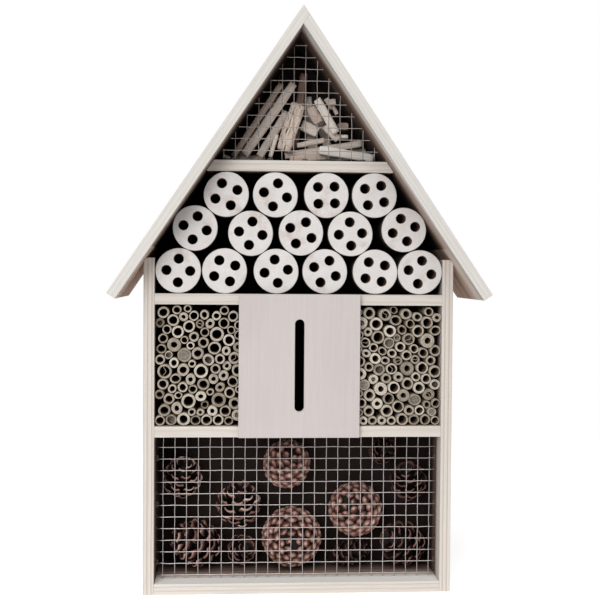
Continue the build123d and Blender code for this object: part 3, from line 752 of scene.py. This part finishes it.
def tube_places(node):
    """Centre (x, z), radius, front and back of each cane, left to right and bottom to top."""
    places = []
    for group in islands(node):
        low = [min(point[axis] for point in group) for axis in range(3)]
        high = [max(point[axis] for point in group) for axis in range(3)]
        centre = ((low[0] + high[0]) / 2, (low[2] + high[2]) / 2)
        places.append((centre, (high[2] - low[2]) / 2, low[1], high[1]))
    return sorted(places)


def turned(x, z, angle):
    return x * cos(angle) - z * sin(angle), x * sin(angle) + z * cos(angle)


def cane_outline(radius, squash, lean, dent, phase):
    """Oval, slightly lumpy outline of a cane."""
    outline = []
    for x, z in ring_points(TUBE_SEGMENTS, radius, wobble=dent, phase=phase):
        along, across = turned(x, z, -lean)
        outline.append(turned(along, across * squash, lean))
    return outline


def cane_row(shape, outline, centre, depth, tilt, rough, tone, chance):
    """Row of vertices on a cut plane that is a little tilted and torn."""
    row = []
    for x, z in outline:
        y = depth + x * tilt[0] + z * tilt[1] + chance.uniform(-rough, rough)
        spot = (centre[0] + x, y, centre[1] + z)
        row.append(shape.point(spot, grain=spot, tone=tone))
    return row


def cane_rows(shape, rings, centre, radius, oval, tone, chance):
    """Rows of a cane's wall; each ring has a depth, and growth in mm, a tilt and a raggedness in mm."""
    rows = []
    for depth, growth, tilt, rough in rings:
        outline = cane_outline(radius + growth * MM, *oval)
        rows.append(cane_row(shape, outline, centre, depth, tilt, rough * MM, tone, chance))
    return rows


def build_cane(shape, place, chance):
    """One cut cane: skin, torn rim, bore and sometimes a knot or a shred of pith."""
    centre, radius, front, back = place
    tone = min(1.0, max(0.0, chance.gauss(*CANE_TONE)))
    squash = chance.choice(CANE_SQUASHES)
    lean = chance.uniform(0, pi)
    phase = chance.uniform(0, TURN)
    tilt = (chance.gauss(0, CUT_TILT), chance.gauss(0, CUT_TILT))
    share = chance.choice(BORE_SHARES)
    front += max(0.0, chance.gauss(*SET_BACK)) * MM
    still = (0.0, 0.0)
    rings = (
        (front, -0.25, tilt, 0.12), (front + 0.35 * MM, 0.0, tilt, 0.0),
        (front + STILL_DEPTH * MM, -0.05, still, 0.0), (back, 0.0, still, 0.0),
    )
    skin = cane_rows(shape, rings, centre, radius, (squash, lean, SKIN_WOBBLE, phase), tone, chance)
    rings = (
        (front + 0.05 * MM, 0.2, tilt, 0.15), (front + 0.6 * MM, 0.0, tilt, 0.05),
        (front + STILL_DEPTH * MM, -0.05, still, 0.0), (back, 0.0, still, 0.0),
    )
    oval = (squash, lean, BORE_WOBBLE, phase + 1.7)
    bore = cane_rows(shape, rings, centre, radius * share, oval, tone, chance)
    shape.loft(skin, slot=1)
    shape.loft(bore, slot=2)
    outline = cane_outline(radius * (1 + share) / 2, squash, lean, PITH_WOBBLE, phase + 0.8)
    pith = cane_row(shape, outline, centre, front + 0.02 * MM, tilt, 0.1 * MM, tone * WALL_SHADE, chance)
    shape.loft((skin[0], pith, bore[0]), slot=0)
    shape.bridge(skin[-1], bore[-1], slot=0)
    if chance.random() < KNOT_CHANCE:
        membrane(shape, centre, radius * share, front + chance.uniform(*KNOT_DEPTHS) * MM, tone, chance)
    if chance.random() < SHRED_CHANCE:
        shred(shape, centre, radius * share, front, tone, chance)


def membrane(shape, centre, radius, depth, tone, chance):
    """Dished, pitted pith across a bore."""
    x, z = centre
    middle = shape.point((x, depth + KNOT_SAG, z), grain=(x, depth, z), tone=tone)
    rows = []
    for share, sag in KNOT_RINGS:
        outline = ring_points(TUBE_SEGMENTS, radius * share)
        rows.append(cane_row(shape, outline, centre, depth + sag * MM, (0, 0), 0.25 * MM, tone, chance))
    shape.fan(rows[0], middle, slot=3)
    shape.loft(rows, slot=3)


def shred(shape, centre, radius, front, tone, chance):
    """Thin curled strip of pith that crosses a bore."""
    angle = chance.uniform(0, pi)
    aside, over = turned(0, SHRED_HALF_WIDTH, angle)
    rows = []
    for step in range(SHRED_STEPS):
        along = (2 * step / (SHRED_STEPS - 1) - 1) * radius * 0.98
        curl = 0.25 * radius * sin(step * 1.1 + angle)
        x, z = turned(along, curl, angle)
        row = []
        for side, depth in SHRED_SECTION:
            spot = (centre[0] + x + side * aside, front + depth * MM, centre[1] + z + side * over)
            row.append(shape.point(spot, grain=spot, tone=tone))
        rows.append(row)
    shape.loft(rows, slot=3)
    shape.cap(rows[0], slot=3)
    shape.cap(rows[-1], slot=3)


def build_canes():
    # The cane bores' dark brown is painted shade.
    bore = bore_material("cane_bore", (0.20, 0.135, 0.09))
    looks = (cane_end_material(), cane_skin_material(), bore, membrane_material())
    for side, node in enumerate(("left_bamboo_tubes", "right_bamboo_tubes")):
        chance = random.Random(CANE_SEED + side)
        shape = Shape()
        for place in tube_places(node):
            build_cane(shape, place, chance)
        shape.finish(f"{node}_cut", looks, node)


# ---- welded wire meshes ----
WIRE_RADIUS = 0.35 * MM
WIRE_ROUNDNESS = 2
WIRE_WANDER = 0.09 * MM
WELD = 0.15 * MM
FLANGE = 9.0 * MM
LOWER_SEED = 5
GABLE_SEED = 6
EASE = 0.3 * MM
LOWER_PITCH = 9.8 * MM
LOWER_COLUMNS = 24
LOWER_ROWS = 12
LOWER_TOP_GAP = 10.8 * MM
GABLE_PITCH = 9.58 * MM
GABLE_COLUMNS = 14
GABLE_ROWS = 10
GABLE_MIDDLE_X = 3.8 * MM
GABLE_FIRST_RISE = 8.0 * MM


def bent_wire(curve, path, chance):
    """Add a wire through corner points, wandering a little between them."""
    points = []
    for start, end in zip(path, path[1:]):
        span = (Vector(end) - Vector(start)).length
        steps = max(1, round(span / (LOWER_PITCH / 2)))
        for step in range(steps):
            spot = Vector(start).lerp(Vector(end), step / steps)
            if points and step:
                spot += Vector([chance.gauss(0, WIRE_WANDER) for axis in range(3)])
            points.append(spot)
    points.append(Vector(path[-1]))
    spline = curve.splines.new("POLY")
    spline.points.add(len(points) - 1)
    for target, spot in zip(spline.points, points):
        target.co = (*spot, 1)


def wire_piece(name, paths, node, look, seed):
    """Round wires along paths, as one mesh that stands for a CAD node."""
    curve = bpy.data.curves.new(name, "CURVE")
    curve.dimensions = "3D"
    curve.bevel_depth = WIRE_RADIUS
    curve.bevel_resolution = WIRE_ROUNDNESS
    curve.use_fill_caps = True
    chance = random.Random(seed)
    for path in paths:
        bent_wire(curve, path, chance)
    holder = add_object(name + "_route", curve)
    mesh = bpy.data.meshes.new_from_object(holder.evaluated_get(bpy.context.evaluated_depsgraph_get()))
    bpy.data.objects.remove(holder)
    for polygon in mesh.polygons:
        polygon.use_smooth = True
    mesh.materials.clear()
    mesh.materials.append(look.material)
    piece = add_object(name, mesh)
    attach(piece, BODY)
    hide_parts(node)
    return piece


def build_lower_mesh(look):
    low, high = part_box("lower_mesh")
    row_y = low[1] + WIRE_RADIUS
    column_y = row_y + 2 * WIRE_RADIUS - WELD
    edge = high[0] - WIRE_RADIUS
    paths = []
    for column in range(LOWER_COLUMNS):
        x = (column - (LOWER_COLUMNS - 1) / 2) * LOWER_PITCH
        paths.append([(x, column_y, low[2]), (x, column_y, high[2])])
    for row in range(LOWER_ROWS):
        z = LOWER_SHELF[0][2] - LOWER_TOP_GAP - row * LOWER_PITCH
        back = row_y + FLANGE
        paths.append([(-edge, back, z), (-edge, row_y, z), (edge, row_y, z), (edge, back, z)])
    wire_piece("lower_mesh_round", paths, "lower_mesh", look, LOWER_SEED)


def roof_inside(z):
    """Half-width between the roof's inner faces at a height, read from the gable shelf's bevels."""
    shelf_low, shelf_high = GABLE_SHELF
    return shelf_high[0] - (z - shelf_low[2]) / tan(SLOPE)


def build_gable_mesh(look):
    low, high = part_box("gable_mesh")
    row_y = low[1] + WIRE_RADIUS
    column_y = row_y + 2 * WIRE_RADIUS - WELD
    foot_z = low[2] + WIRE_RADIUS
    clear = EASE + 2 * WIRE_RADIUS
    paths = []
    for column in range(GABLE_COLUMNS):
        x = GABLE_MIDDLE_X + (column - GABLE_COLUMNS // 2) * GABLE_PITCH
        room = GABLE_SHELF[1][0] - abs(x) - WIRE_RADIUS - clear
        top = min(GABLE_SHELF[0][2] + room * tan(SLOPE), high[2] - WIRE_RADIUS)
        back = column_y + FLANGE - WIRE_RADIUS
        paths.append([(x, back, foot_z), (x, column_y, foot_z), (x, column_y, top)])
    for row in range(GABLE_ROWS):
        z = GABLE_SHELF[1][2] + GABLE_FIRST_RISE + row * GABLE_PITCH
        reach = roof_inside(z + WIRE_RADIUS) - clear
        paths.append([(-reach, row_y, z), (reach, row_y, z)])
    wire_piece("gable_mesh_round", paths, "gable_mesh", look, GABLE_SEED)


# ---- pine cones ----
# Turn about Z and tilt of the tip in degrees, scales, paleness of the rims, largest radius and length in mm.
CONES = {
    1: (15, 35, 46, 1.0, 18.5, 40.0),
    2: (10, 50, 104, 0.95, 21.0, 46.0),
    3: (-25, 62, 112, 0.92, 24.0, 46.0),
    4: (0, 90, 134, 0.95, 26.5, 47.0),
    5: (10, 20, 40, 1.0, 21.0, 42.0),
    6: (-75, 70, 46, 0.9, 22.5, 46.0),
    7: (20, 70, 34, 0.7, 14.0, 32.0),
    8: (-20, 40, 40, 0.65, 17.5, 38.0),
    9: (-60, 65, 44, 0.6, 21.0, 43.0),
    10: (80, 75, 34, 0.5, 12.0, 36.0),
    11: (40, 60, 34, 0.5, 12.5, 30.0),
}
CLOSED_CONES = (2, 3, 4)
CONE_TONES = (
    (0.12, (0.012, 0.006, 0.005)), (0.45, (0.155, 0.066, 0.050)),
    (0.72, (0.37, 0.20, 0.16)), (1.0, (0.74, 0.56, 0.49)),
)
TONE_DRIFT = 0.35
CONE_SEED = 700
# Height and radius of the rings of a cone's core, as shares of its length and radius.
CORE_RINGS = ((-0.42, 0.35), (-0.25, 0.8), (0.0, 1.0), (0.22, 0.85), (0.36, 0.5))
CORE_SIDES = 20
CLOSED_CORE = 0.78
OPEN_CORE = 0.30
KNOB_SIDES = 10
# Height, width and paleness of the rings of a closed scale's thick end.
KNOB_RINGS = (
    (-0.9, 0.80, 0.0), (-0.2, 1.0, 0.06), (0.22, 1.0, 0.34),
    (0.55, 0.92, 0.58), (0.80, 0.70, 0.78), (0.95, 0.38, 0.92),
)
# Thickness, width and height of a closed scale's end, as shares of the space between scales.
KNOB_SHARES = (0.62, 0.68, 0.55)
THICKNESS_CHANGES = (0.85, 1.1)
KNOB_CHANGES = (0.84, 1.10)
KNOB_PINCH = 0.16
KNOB_TIP = 0.10
KNOB_RISE = 0.12
KNOB_LEANS = (0.30, 0.50)
CLOSED_FILL = 0.84
OPEN_FILL = 0.8
SCALE_STOPS = (0.0, 0.25, 0.5, 0.72, 0.86, 0.95, 1.0)
SCALE_COLUMNS = 9
SCALE_THICKNESS = 0.9 * MM
SCALE_WIDTH = 0.58
SCALE_ROOT = 0.28
SCALE_WIDEST = 0.7
SCALE_CUP = 0.42
RIM_START = 0.80
RIM_SIDE = 0.72
CONE_HOLE = 4.2 * MM


def cone_material():
    """Woody scales: dark roots, reddish backs and paler rims from wear."""
    look = Look("cone_scale", roughness=0.7, specular=0.3)
    place = look.stored("grain")
    line = look.stretched(place, (600, 600, 160), detail=4, roughness=0.65)
    tint = look.varied(look.stored("tone", "Fac"), look.noise(place, 70.0, detail=3), TONE_DRIFT)
    look.colour(look.darkened(look.ramp(tint, *CONE_TONES), look.ramp(line, (0.3, 0.68), (0.65, 1.0))))
    look.bump(line, 0.5, 0.6)
    return look


def build_knob(shape, foot, out, side, wide, tall, thick, pale, chance):
    """Thick rhombic end of a closed scale, leaning towards the cone's tip."""
    towards_tip = out.cross(side).normalized()
    if towards_tip.z < 0:
        towards_tip = -towards_tip
    rows = []
    lean = chance.uniform(*KNOB_LEANS)
    for height, share, tone in KNOB_RINGS:
        row = []
        for corner in range(KNOB_SIDES):
            angle = TURN * corner / KNOB_SIDES
            across, along = cos(angle), sin(angle)
            pinch = 1 - KNOB_PINCH * abs(sin(2 * angle))
            spot = foot + out * (height * thick) + side * (wide * share * pinch * across)
            spot += towards_tip * (tall * (share * pinch * along + lean * height))
            # Painted light and shade: each knob is paler on its side towards the cone's tip and darker
            # towards its base.
            shade = max(0.0, tone * pale * (0.70 + 0.36 * along))
            row.append(shape.point(spot, grain=spot, tone=shade))
        rows.append(row)
    shape.loft(rows)
    peak = foot + out * thick + towards_tip * (lean * tall)
    shape.fan(rows[-1], shape.point(peak, grain=peak, tone=pale), smooth=True)


def cone_core(shape, radius, length):
    """Dark spindle that the scales grow from."""
    rows = []
    for height, share in CORE_RINGS:
        outline = ring_points(CORE_SIDES, radius * share)
        rows.append([shape.point((x, y, height * length), tone=0.0) for x, y in outline])
    shape.loft(rows)
    shape.cap(rows[0])
    shape.cap(rows[-1])


def scale_space(radius, length, fill, count):
    """Side of the square that each scale has on the cone's surface."""
    return sqrt(4 * pi * radius * (length / 2) * fill / count)


def closed_cone(shape, radius, length, count, pale, chance):
    """Scales whose thick ends cover an egg, evenly spread along a golden-angle spiral."""
    cone_core(shape, radius * CLOSED_CORE, length)
    spread = scale_space(radius, length, CLOSED_FILL, count)
    for step in range(count):
        polar = acos(1 - 2 * (step + 0.5) / count)
        turn = step * GOLDEN_ANGLE
        grown = 0.80 + 0.26 * sin(polar)
        thick = KNOB_SHARES[0] * spread * grown * chance.uniform(*THICKNESS_CHANGES)
        wide = KNOB_SHARES[1] * spread * grown * chance.uniform(*KNOB_CHANGES)
        tall = KNOB_SHARES[2] * spread * grown * chance.uniform(*KNOB_CHANGES)
        reach = (radius - thick) * sin(polar)
        if polar > pi / 2 and reach < CONE_HOLE:
            continue
        height = -(length / 2 - thick) * cos(polar)
        around = Vector((cos(turn), sin(turn), 0))
        side = Vector((-sin(turn), cos(turn), 0))
        out = around * sin(polar) * length / 2 + Vector((0, 0, -cos(polar) * radius))
        tipped = Vector((chance.gauss(0, KNOB_TIP), chance.gauss(0, KNOB_TIP), KNOB_RISE))
        out = (out.normalized() + tipped).normalized()
        foot = around * reach + Vector((0, 0, height))
        build_knob(shape, foot, out, side, wide, tall, thick, pale * chance.uniform(0.82, 1.0), chance)


def scale_place(along, start, knee, end):
    """Point and direction on a scale's curved spine."""
    first = start.lerp(knee, along)
    second = knee.lerp(end, along)
    return first.lerp(second, along), (second - first).normalized()


def build_scale(shape, start, knee, end, side, half_width, pale):
    """Open scale: a narrow root that widens to a cupped, round, pale-rimmed tip."""
    tops = []
    bottoms = []
    for along in SCALE_STOPS:
        position, tangent = scale_place(along, start, knee, end)
        normal = side.cross(tangent).normalized()
        if normal.z < 0:
            normal = -normal
        grown = SCALE_ROOT + (1 - SCALE_ROOT) * min(1.0, along / SCALE_WIDEST) ** 1.3
        round_off = sqrt(max(0.0, 1 - (max(0.0, along - SCALE_WIDEST) / 0.42) ** 2))
        width = half_width * grown * round_off
        body = SCALE_THICKNESS * (0.5 + 0.5 * along)
        top_row = []
        bottom_row = []
        for column in range(SCALE_COLUMNS):
            across = 2 * column / (SCALE_COLUMNS - 1) - 1
            cup = SCALE_CUP * half_width * across * across * along
            spot = position + side * (across * width) + normal * cup
            side_rim = max(0.0, abs(across) - RIM_SIDE) / (1 - RIM_SIDE) * along**3
            rim = max(max(0.0, along - RIM_START) / 0.12, side_rim)
            shade = (0.12 + 0.20 * along + 0.68 * min(1.0, rim)) * pale
            top = spot + normal * (body * (1 - 0.5 * across * across))
            top_row.append(shape.point(top, grain=top, tone=shade * (0.35 if rim < 0.3 else 1.0)))
            bottom_row.append(shape.point(spot, grain=spot, tone=shade * (0.7 if rim < 0.3 else 1.0)))
        tops.append(top_row)
        bottoms.append(bottom_row)
    loops = [top + bottom[::-1] for top, bottom in zip(tops, bottoms)]
    shape.loft(loops)
    shape.cap(loops[0])
    top, bottom = tops[-1], bottoms[-1]
    for column in range(SCALE_COLUMNS - 1):
        shape.cap((top[column], top[column + 1], bottom[column + 1], bottom[column]), smooth=True)


def open_cone(shape, radius, length, count, pale, chance):
    """Scales that stand apart, longest a third of the way up."""
    cone_core(shape, radius * OPEN_CORE, length * 0.9)
    spread = scale_space(radius, length, OPEN_FILL, count)
    up = Vector((0, 0, 1))
    for step in range(count):
        share = (step + 0.5) / count
        turn = step * GOLDEN_ANGLE + chance.uniform(-0.1, 0.1)
        around = Vector((cos(turn), sin(turn), 0))
        side = Vector((-sin(turn), cos(turn), 0))
        swell = sin(pi * (0.16 + 0.78 * share)) ** 0.7
        reach = radius * swell * chance.uniform(0.90, 1.0)
        tip_height = (0.06 + 0.90 * share - 0.5) * length
        rise = (0.20 + 0.55 * share) * reach
        core = 0.22 * radius * swell
        start = around * core + up * (tip_height - rise)
        knee = around * (core + 0.72 * (reach - core)) + up * (tip_height - 0.72 * rise)
        end = around * reach + up * tip_height
        half_width = SCALE_WIDTH * spread * (0.45 + 0.55 * swell) * chance.uniform(0.9, 1.1)
        shade = pale * chance.uniform(0.55, 1.0)
        build_scale(shape, start, knee, end, side, half_width, shade)


def build_cones():
    look = cone_material()
    for number, (turn, tilt, count, pale, radius, length) in CONES.items():
        node = f"pine_cone_{number:02d}"
        chance = random.Random(CONE_SEED + number)
        shape = Shape()
        make = closed_cone if number in CLOSED_CONES else open_cone
        make(shape, radius * MM, length * MM, count, pale, chance)
        piece = shape.finish(f"{node}_scales", (look,), node)
        low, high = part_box(node)
        aim = Matrix.Rotation(radians(turn), 4, "Z") @ Matrix.Rotation(radians(tilt), 4, "X")
        piece.data.transform(aim)
        piece.location = (low + high) / 2


# ---- gable filling ----
SLAT_TONES = {
    "long_slat_1": 0.36, "long_slat_2": 0.62, "long_slat_3": 0.66, "upright_slat": 0.16,
    "leaning_slat": 0.76, "flat_slat_1": 0.66, "flat_slat_2": 0.98,
}
SLAT_COLOURS = (
    (0.05, (0.27, 0.155, 0.115)), (0.30, (0.52, 0.40, 0.335)),
    (0.60, (0.78, 0.67, 0.59)), (0.95, (0.88, 0.84, 0.79)),
)
SLAT_SEED = 9
SLAT_STEPS = 16
SLAT_SECTION = 12
SLAT_BOW = 0.06
SLAT_ROUGHNESS = 0.10
SLAT_TEAR = 0.9 * MM
SLAT_TAPER = 0.10
SQUARENESS = 0.45
CHIP_TONES = (0.35, 0.75)


def slat_material():
    """Split waste wood, weathered to different browns."""
    look = Look("split_wood", roughness=0.8, specular=0.2)
    grain = look.stored("grain")
    fibre = look.stretched(grain, (30, 900, 900), detail=4, roughness=0.65)
    band = look.stretched(grain, (12, 240, 240), detail=2)
    tint = look.varied(look.stored("tone", "Fac"), band, TONE_DRIFT)
    look.colour(look.darkened(look.ramp(tint, *SLAT_COLOURS), look.ramp(fibre, (0.3, 0.68), (0.62, 1.0))))
    look.bump(fibre, 0.6, 0.7)
    return look


def bark_material():
    """Thin pale bark with short dark marks along it."""
    look = Look("striped_bark", roughness=0.85, specular=0.15)
    grain = look.stored("grain")
    mark = look.stretched(grain, (150, 520, 520), detail=2, roughness=0.5)
    fibre = look.stretched(grain, (40, 800, 800), detail=4)
    base = look.ramp(fibre, (0.3, (0.48, 0.37, 0.30)), (0.65, (0.78, 0.67, 0.58)))
    look.colour(look.mix(look.ramp(mark, (0.58, 0.0), (0.66, 0.95)), base, (0.07, 0.045, 0.035)))
    look.bump(look.minus(fibre, mark), 0.6, 0.7)
    return look


def bar_axes(group):
    """Centre and the three edge vectors of a rectangular bar, shortest first."""
    centre = sum(group, Vector()) / len(group)
    corners = []
    for point in group:
        if all((point - other).length > 1e-5 for other in corners):
            corners.append(point)
    spans = sorted((other - corners[0] for other in corners[1:]), key=lambda span: span.length)
    edges = [spans[0]]
    for span in spans[1:]:
        if all(abs(span.normalized().dot(edge.normalized())) < 1e-2 for edge in edges):
            edges.append(span)
    return centre, *edges


def build_slat(shape, group, tone, chance):
    """Split bar with rounded arrises, a slight bow and torn ends."""
    centre, thin, wide, long = bar_axes(group)
    seed = chance.uniform(0, 100)
    bow = chance.uniform(-SLAT_BOW, SLAT_BOW)
    rows = []
    for step in range(SLAT_STEPS + 1):
        along = step / SLAT_STEPS - 0.5
        taper = 1 - SLAT_TAPER * abs(2 * along) ** 4
        row = []
        for corner in range(SLAT_SECTION):
            angle = TURN * (corner + 0.5) / SLAT_SECTION
            across, depth = squared(cos(angle)), squared(sin(angle))
            rough = noise.noise(Vector((along * 6 + seed, across * 1.5, depth * 1.5))) * SLAT_ROUGHNESS
            torn = 0.0
            if abs(along) == 0.5:
                torn = copysign(chance.uniform(0, SLAT_TEAR) / long.length, along)
            spot = centre + long * ((along - torn) * 0.995)
            spot += wide * ((across * 0.47 * taper) * (1 + rough) + bow * (0.25 - along * along) * 0.5)
            spot += thin * (depth * 0.46 * taper * (1 + rough))
            grain = (along * long.length, across * wide.length + seed, depth * thin.length)
            row.append(shape.point(spot, grain=grain, tone=tone))
        rows.append(row)
    shape.loft(rows)
    shape.cap(rows[0])
    shape.cap(rows[-1])


def squared(value):
    """Push a circle's coordinate out towards a square's."""
    return copysign(abs(value) ** SQUARENESS, value)


def build_gable_filling():
    split = slat_material()
    chance = random.Random(SLAT_SEED)
    nodes = [name for name in NODES if "slat" in name or name == "wood_chips"]
    for node in sorted(nodes):
        shape = Shape()
        for group in islands(node):
            tone = SLAT_TONES.get(node, chance.uniform(*CHIP_TONES))
            build_slat(shape, group, tone, chance)
        shape.finish(f"{node}_split", (split,), node)
    shape = Shape()
    build_slat(shape, islands("bark_stick")[0], 0.5, chance)
    shape.finish("bark_stick_rough", (bark_material(),), "bark_stick")


# ---- studio ----
FLOOR_RADIUS = 0.75
FLOOR_MIDDLE_Y = 0.12
FLOOR_SEGMENTS = 64
FLOOR_GLOW = 0.50
# Place, size and power of each light.
SOFTBOXES = {
    "key_softbox": ((-0.9, -1.9, 0.75), 1.0, 24.5),
    "top_softbox": ((-0.1, -1.1, 2.1), 1.6, 34),
}
LIT_SPOT = (0, 0, 0.24)
FILL_STRENGTH = 0.28


def studio_material():
    look = Look("studio_floor", roughness=0.9, specular=0.1)
    drift = look.noise(look.place(), 0.8, detail=2)
    look.colour(look.ramp(drift, (0.3, (0.91, 0.91, 0.91)), (0.7, (0.94, 0.94, 0.94))))
    look.feed(look.shader, Emission_Color=(1, 1, 1, 1), Emission_Strength=FLOOR_GLOW)
    return look


def build_studio():
    """Plain pale round floor, which glows a little so that it is as white as the background."""
    disc = bmesh.new()
    outline = ring_points(FLOOR_SEGMENTS, FLOOR_RADIUS)
    disc.faces.new([disc.verts.new((x, FLOOR_MIDDLE_Y + y, 0)) for x, y in outline])
    data = bpy.data.meshes.new("studio_floor")
    disc.to_mesh(data)
    disc.free()
    floor = add_object("studio_floor", data)
    data.materials.append(studio_material().material)


def softbox(name, spot, size, power):
    """Square area light that faces the middle of the object."""
    data = bpy.data.lights.new(name, "AREA")
    data.energy = power
    data.size = size
    lamp = add_object(name, data)
    lamp.location = spot
    lamp.rotation_euler = (Vector(LIT_SPOT) - Vector(spot)).to_track_quat("-Z", "Y").to_euler()


def build_lights():
    """Large soft key in front, above and to the left, an overhead softbox and a weak white fill."""
    for name, (spot, size, power) in SOFTBOXES.items():
        softbox(name, spot, size, power)
    world = bpy.data.worlds.new("studio_world")
    world.use_nodes = True
    tree = world.node_tree
    background = tree.nodes["Background"]
    background.inputs["Color"].default_value = (1, 1, 1, 1)
    seen = tree.nodes.new("ShaderNodeLightPath").outputs["Is Camera Ray"]
    strength = tree.nodes.new("ShaderNodeMapRange")
    tree.links.new(seen, strength.inputs["Value"])
    strength.inputs["To Min"].default_value = FILL_STRENGTH
    tree.links.new(strength.outputs["Result"], background.inputs["Strength"])
    bpy.context.scene.world = world


# ---- camera ----
CAMERA_SPOT = (-0.0505, -0.8443, 0.2674)
CAMERA_YAW = radians(3.54)
CAMERA_PITCH = radians(-1.6)
CAMERA_ROLL = radians(0.42)
LENS = 59.77


def build_camera():
    data = bpy.data.cameras.new("photo_camera")
    data.lens = LENS
    data.sensor_width = 36.0
    data.clip_start = 0.05
    data.dof.use_dof = False
    camera = add_object("photo_camera", data)
    heading = Matrix.Rotation(-CAMERA_YAW, 4, "Z")
    raised = Matrix.Rotation(pi / 2 + CAMERA_PITCH, 4, "X")
    rolled = Matrix.Rotation(CAMERA_ROLL, 4, "Z")
    camera.matrix_world = Matrix.Translation(CAMERA_SPOT) @ heading @ raised @ rolled
    bpy.context.scene.camera = camera


METAL_NODES = {
    "zinc_nail": ("roof_nails", "frame_nails", "back_panel_nails", "hanger_screws"),
    "dull_staple": ("gable_mesh_staples", "lower_mesh_staples"),
    "zinc_plate": ("hanger_plate",),
}


def dress_frame():
    """Give the CAD pieces that keep their shape their wood or metal."""
    board_materials()
    panel = panel_material()
    dress("butterfly_panel", panel)
    dress("panel_nails", panel)
    dress("back_panel", plywood_material())
    for metal, nodes in METAL_NODES.items():
        look = metal_material(metal)
        for node in nodes:
            dress(node, look)


bpy.context.scene.view_settings.view_transform = "Standard"
build_camera()
build_lights()
build_studio()
dress_frame()
build_logs()
build_canes()
build_lower_mesh(metal_material("galvanised_wire"))
# The gable's wire takes the darker copy: painted shade under the roof.
build_gable_mesh(metal_material("weathered_wire"))
build_cones()
build_gable_filling()
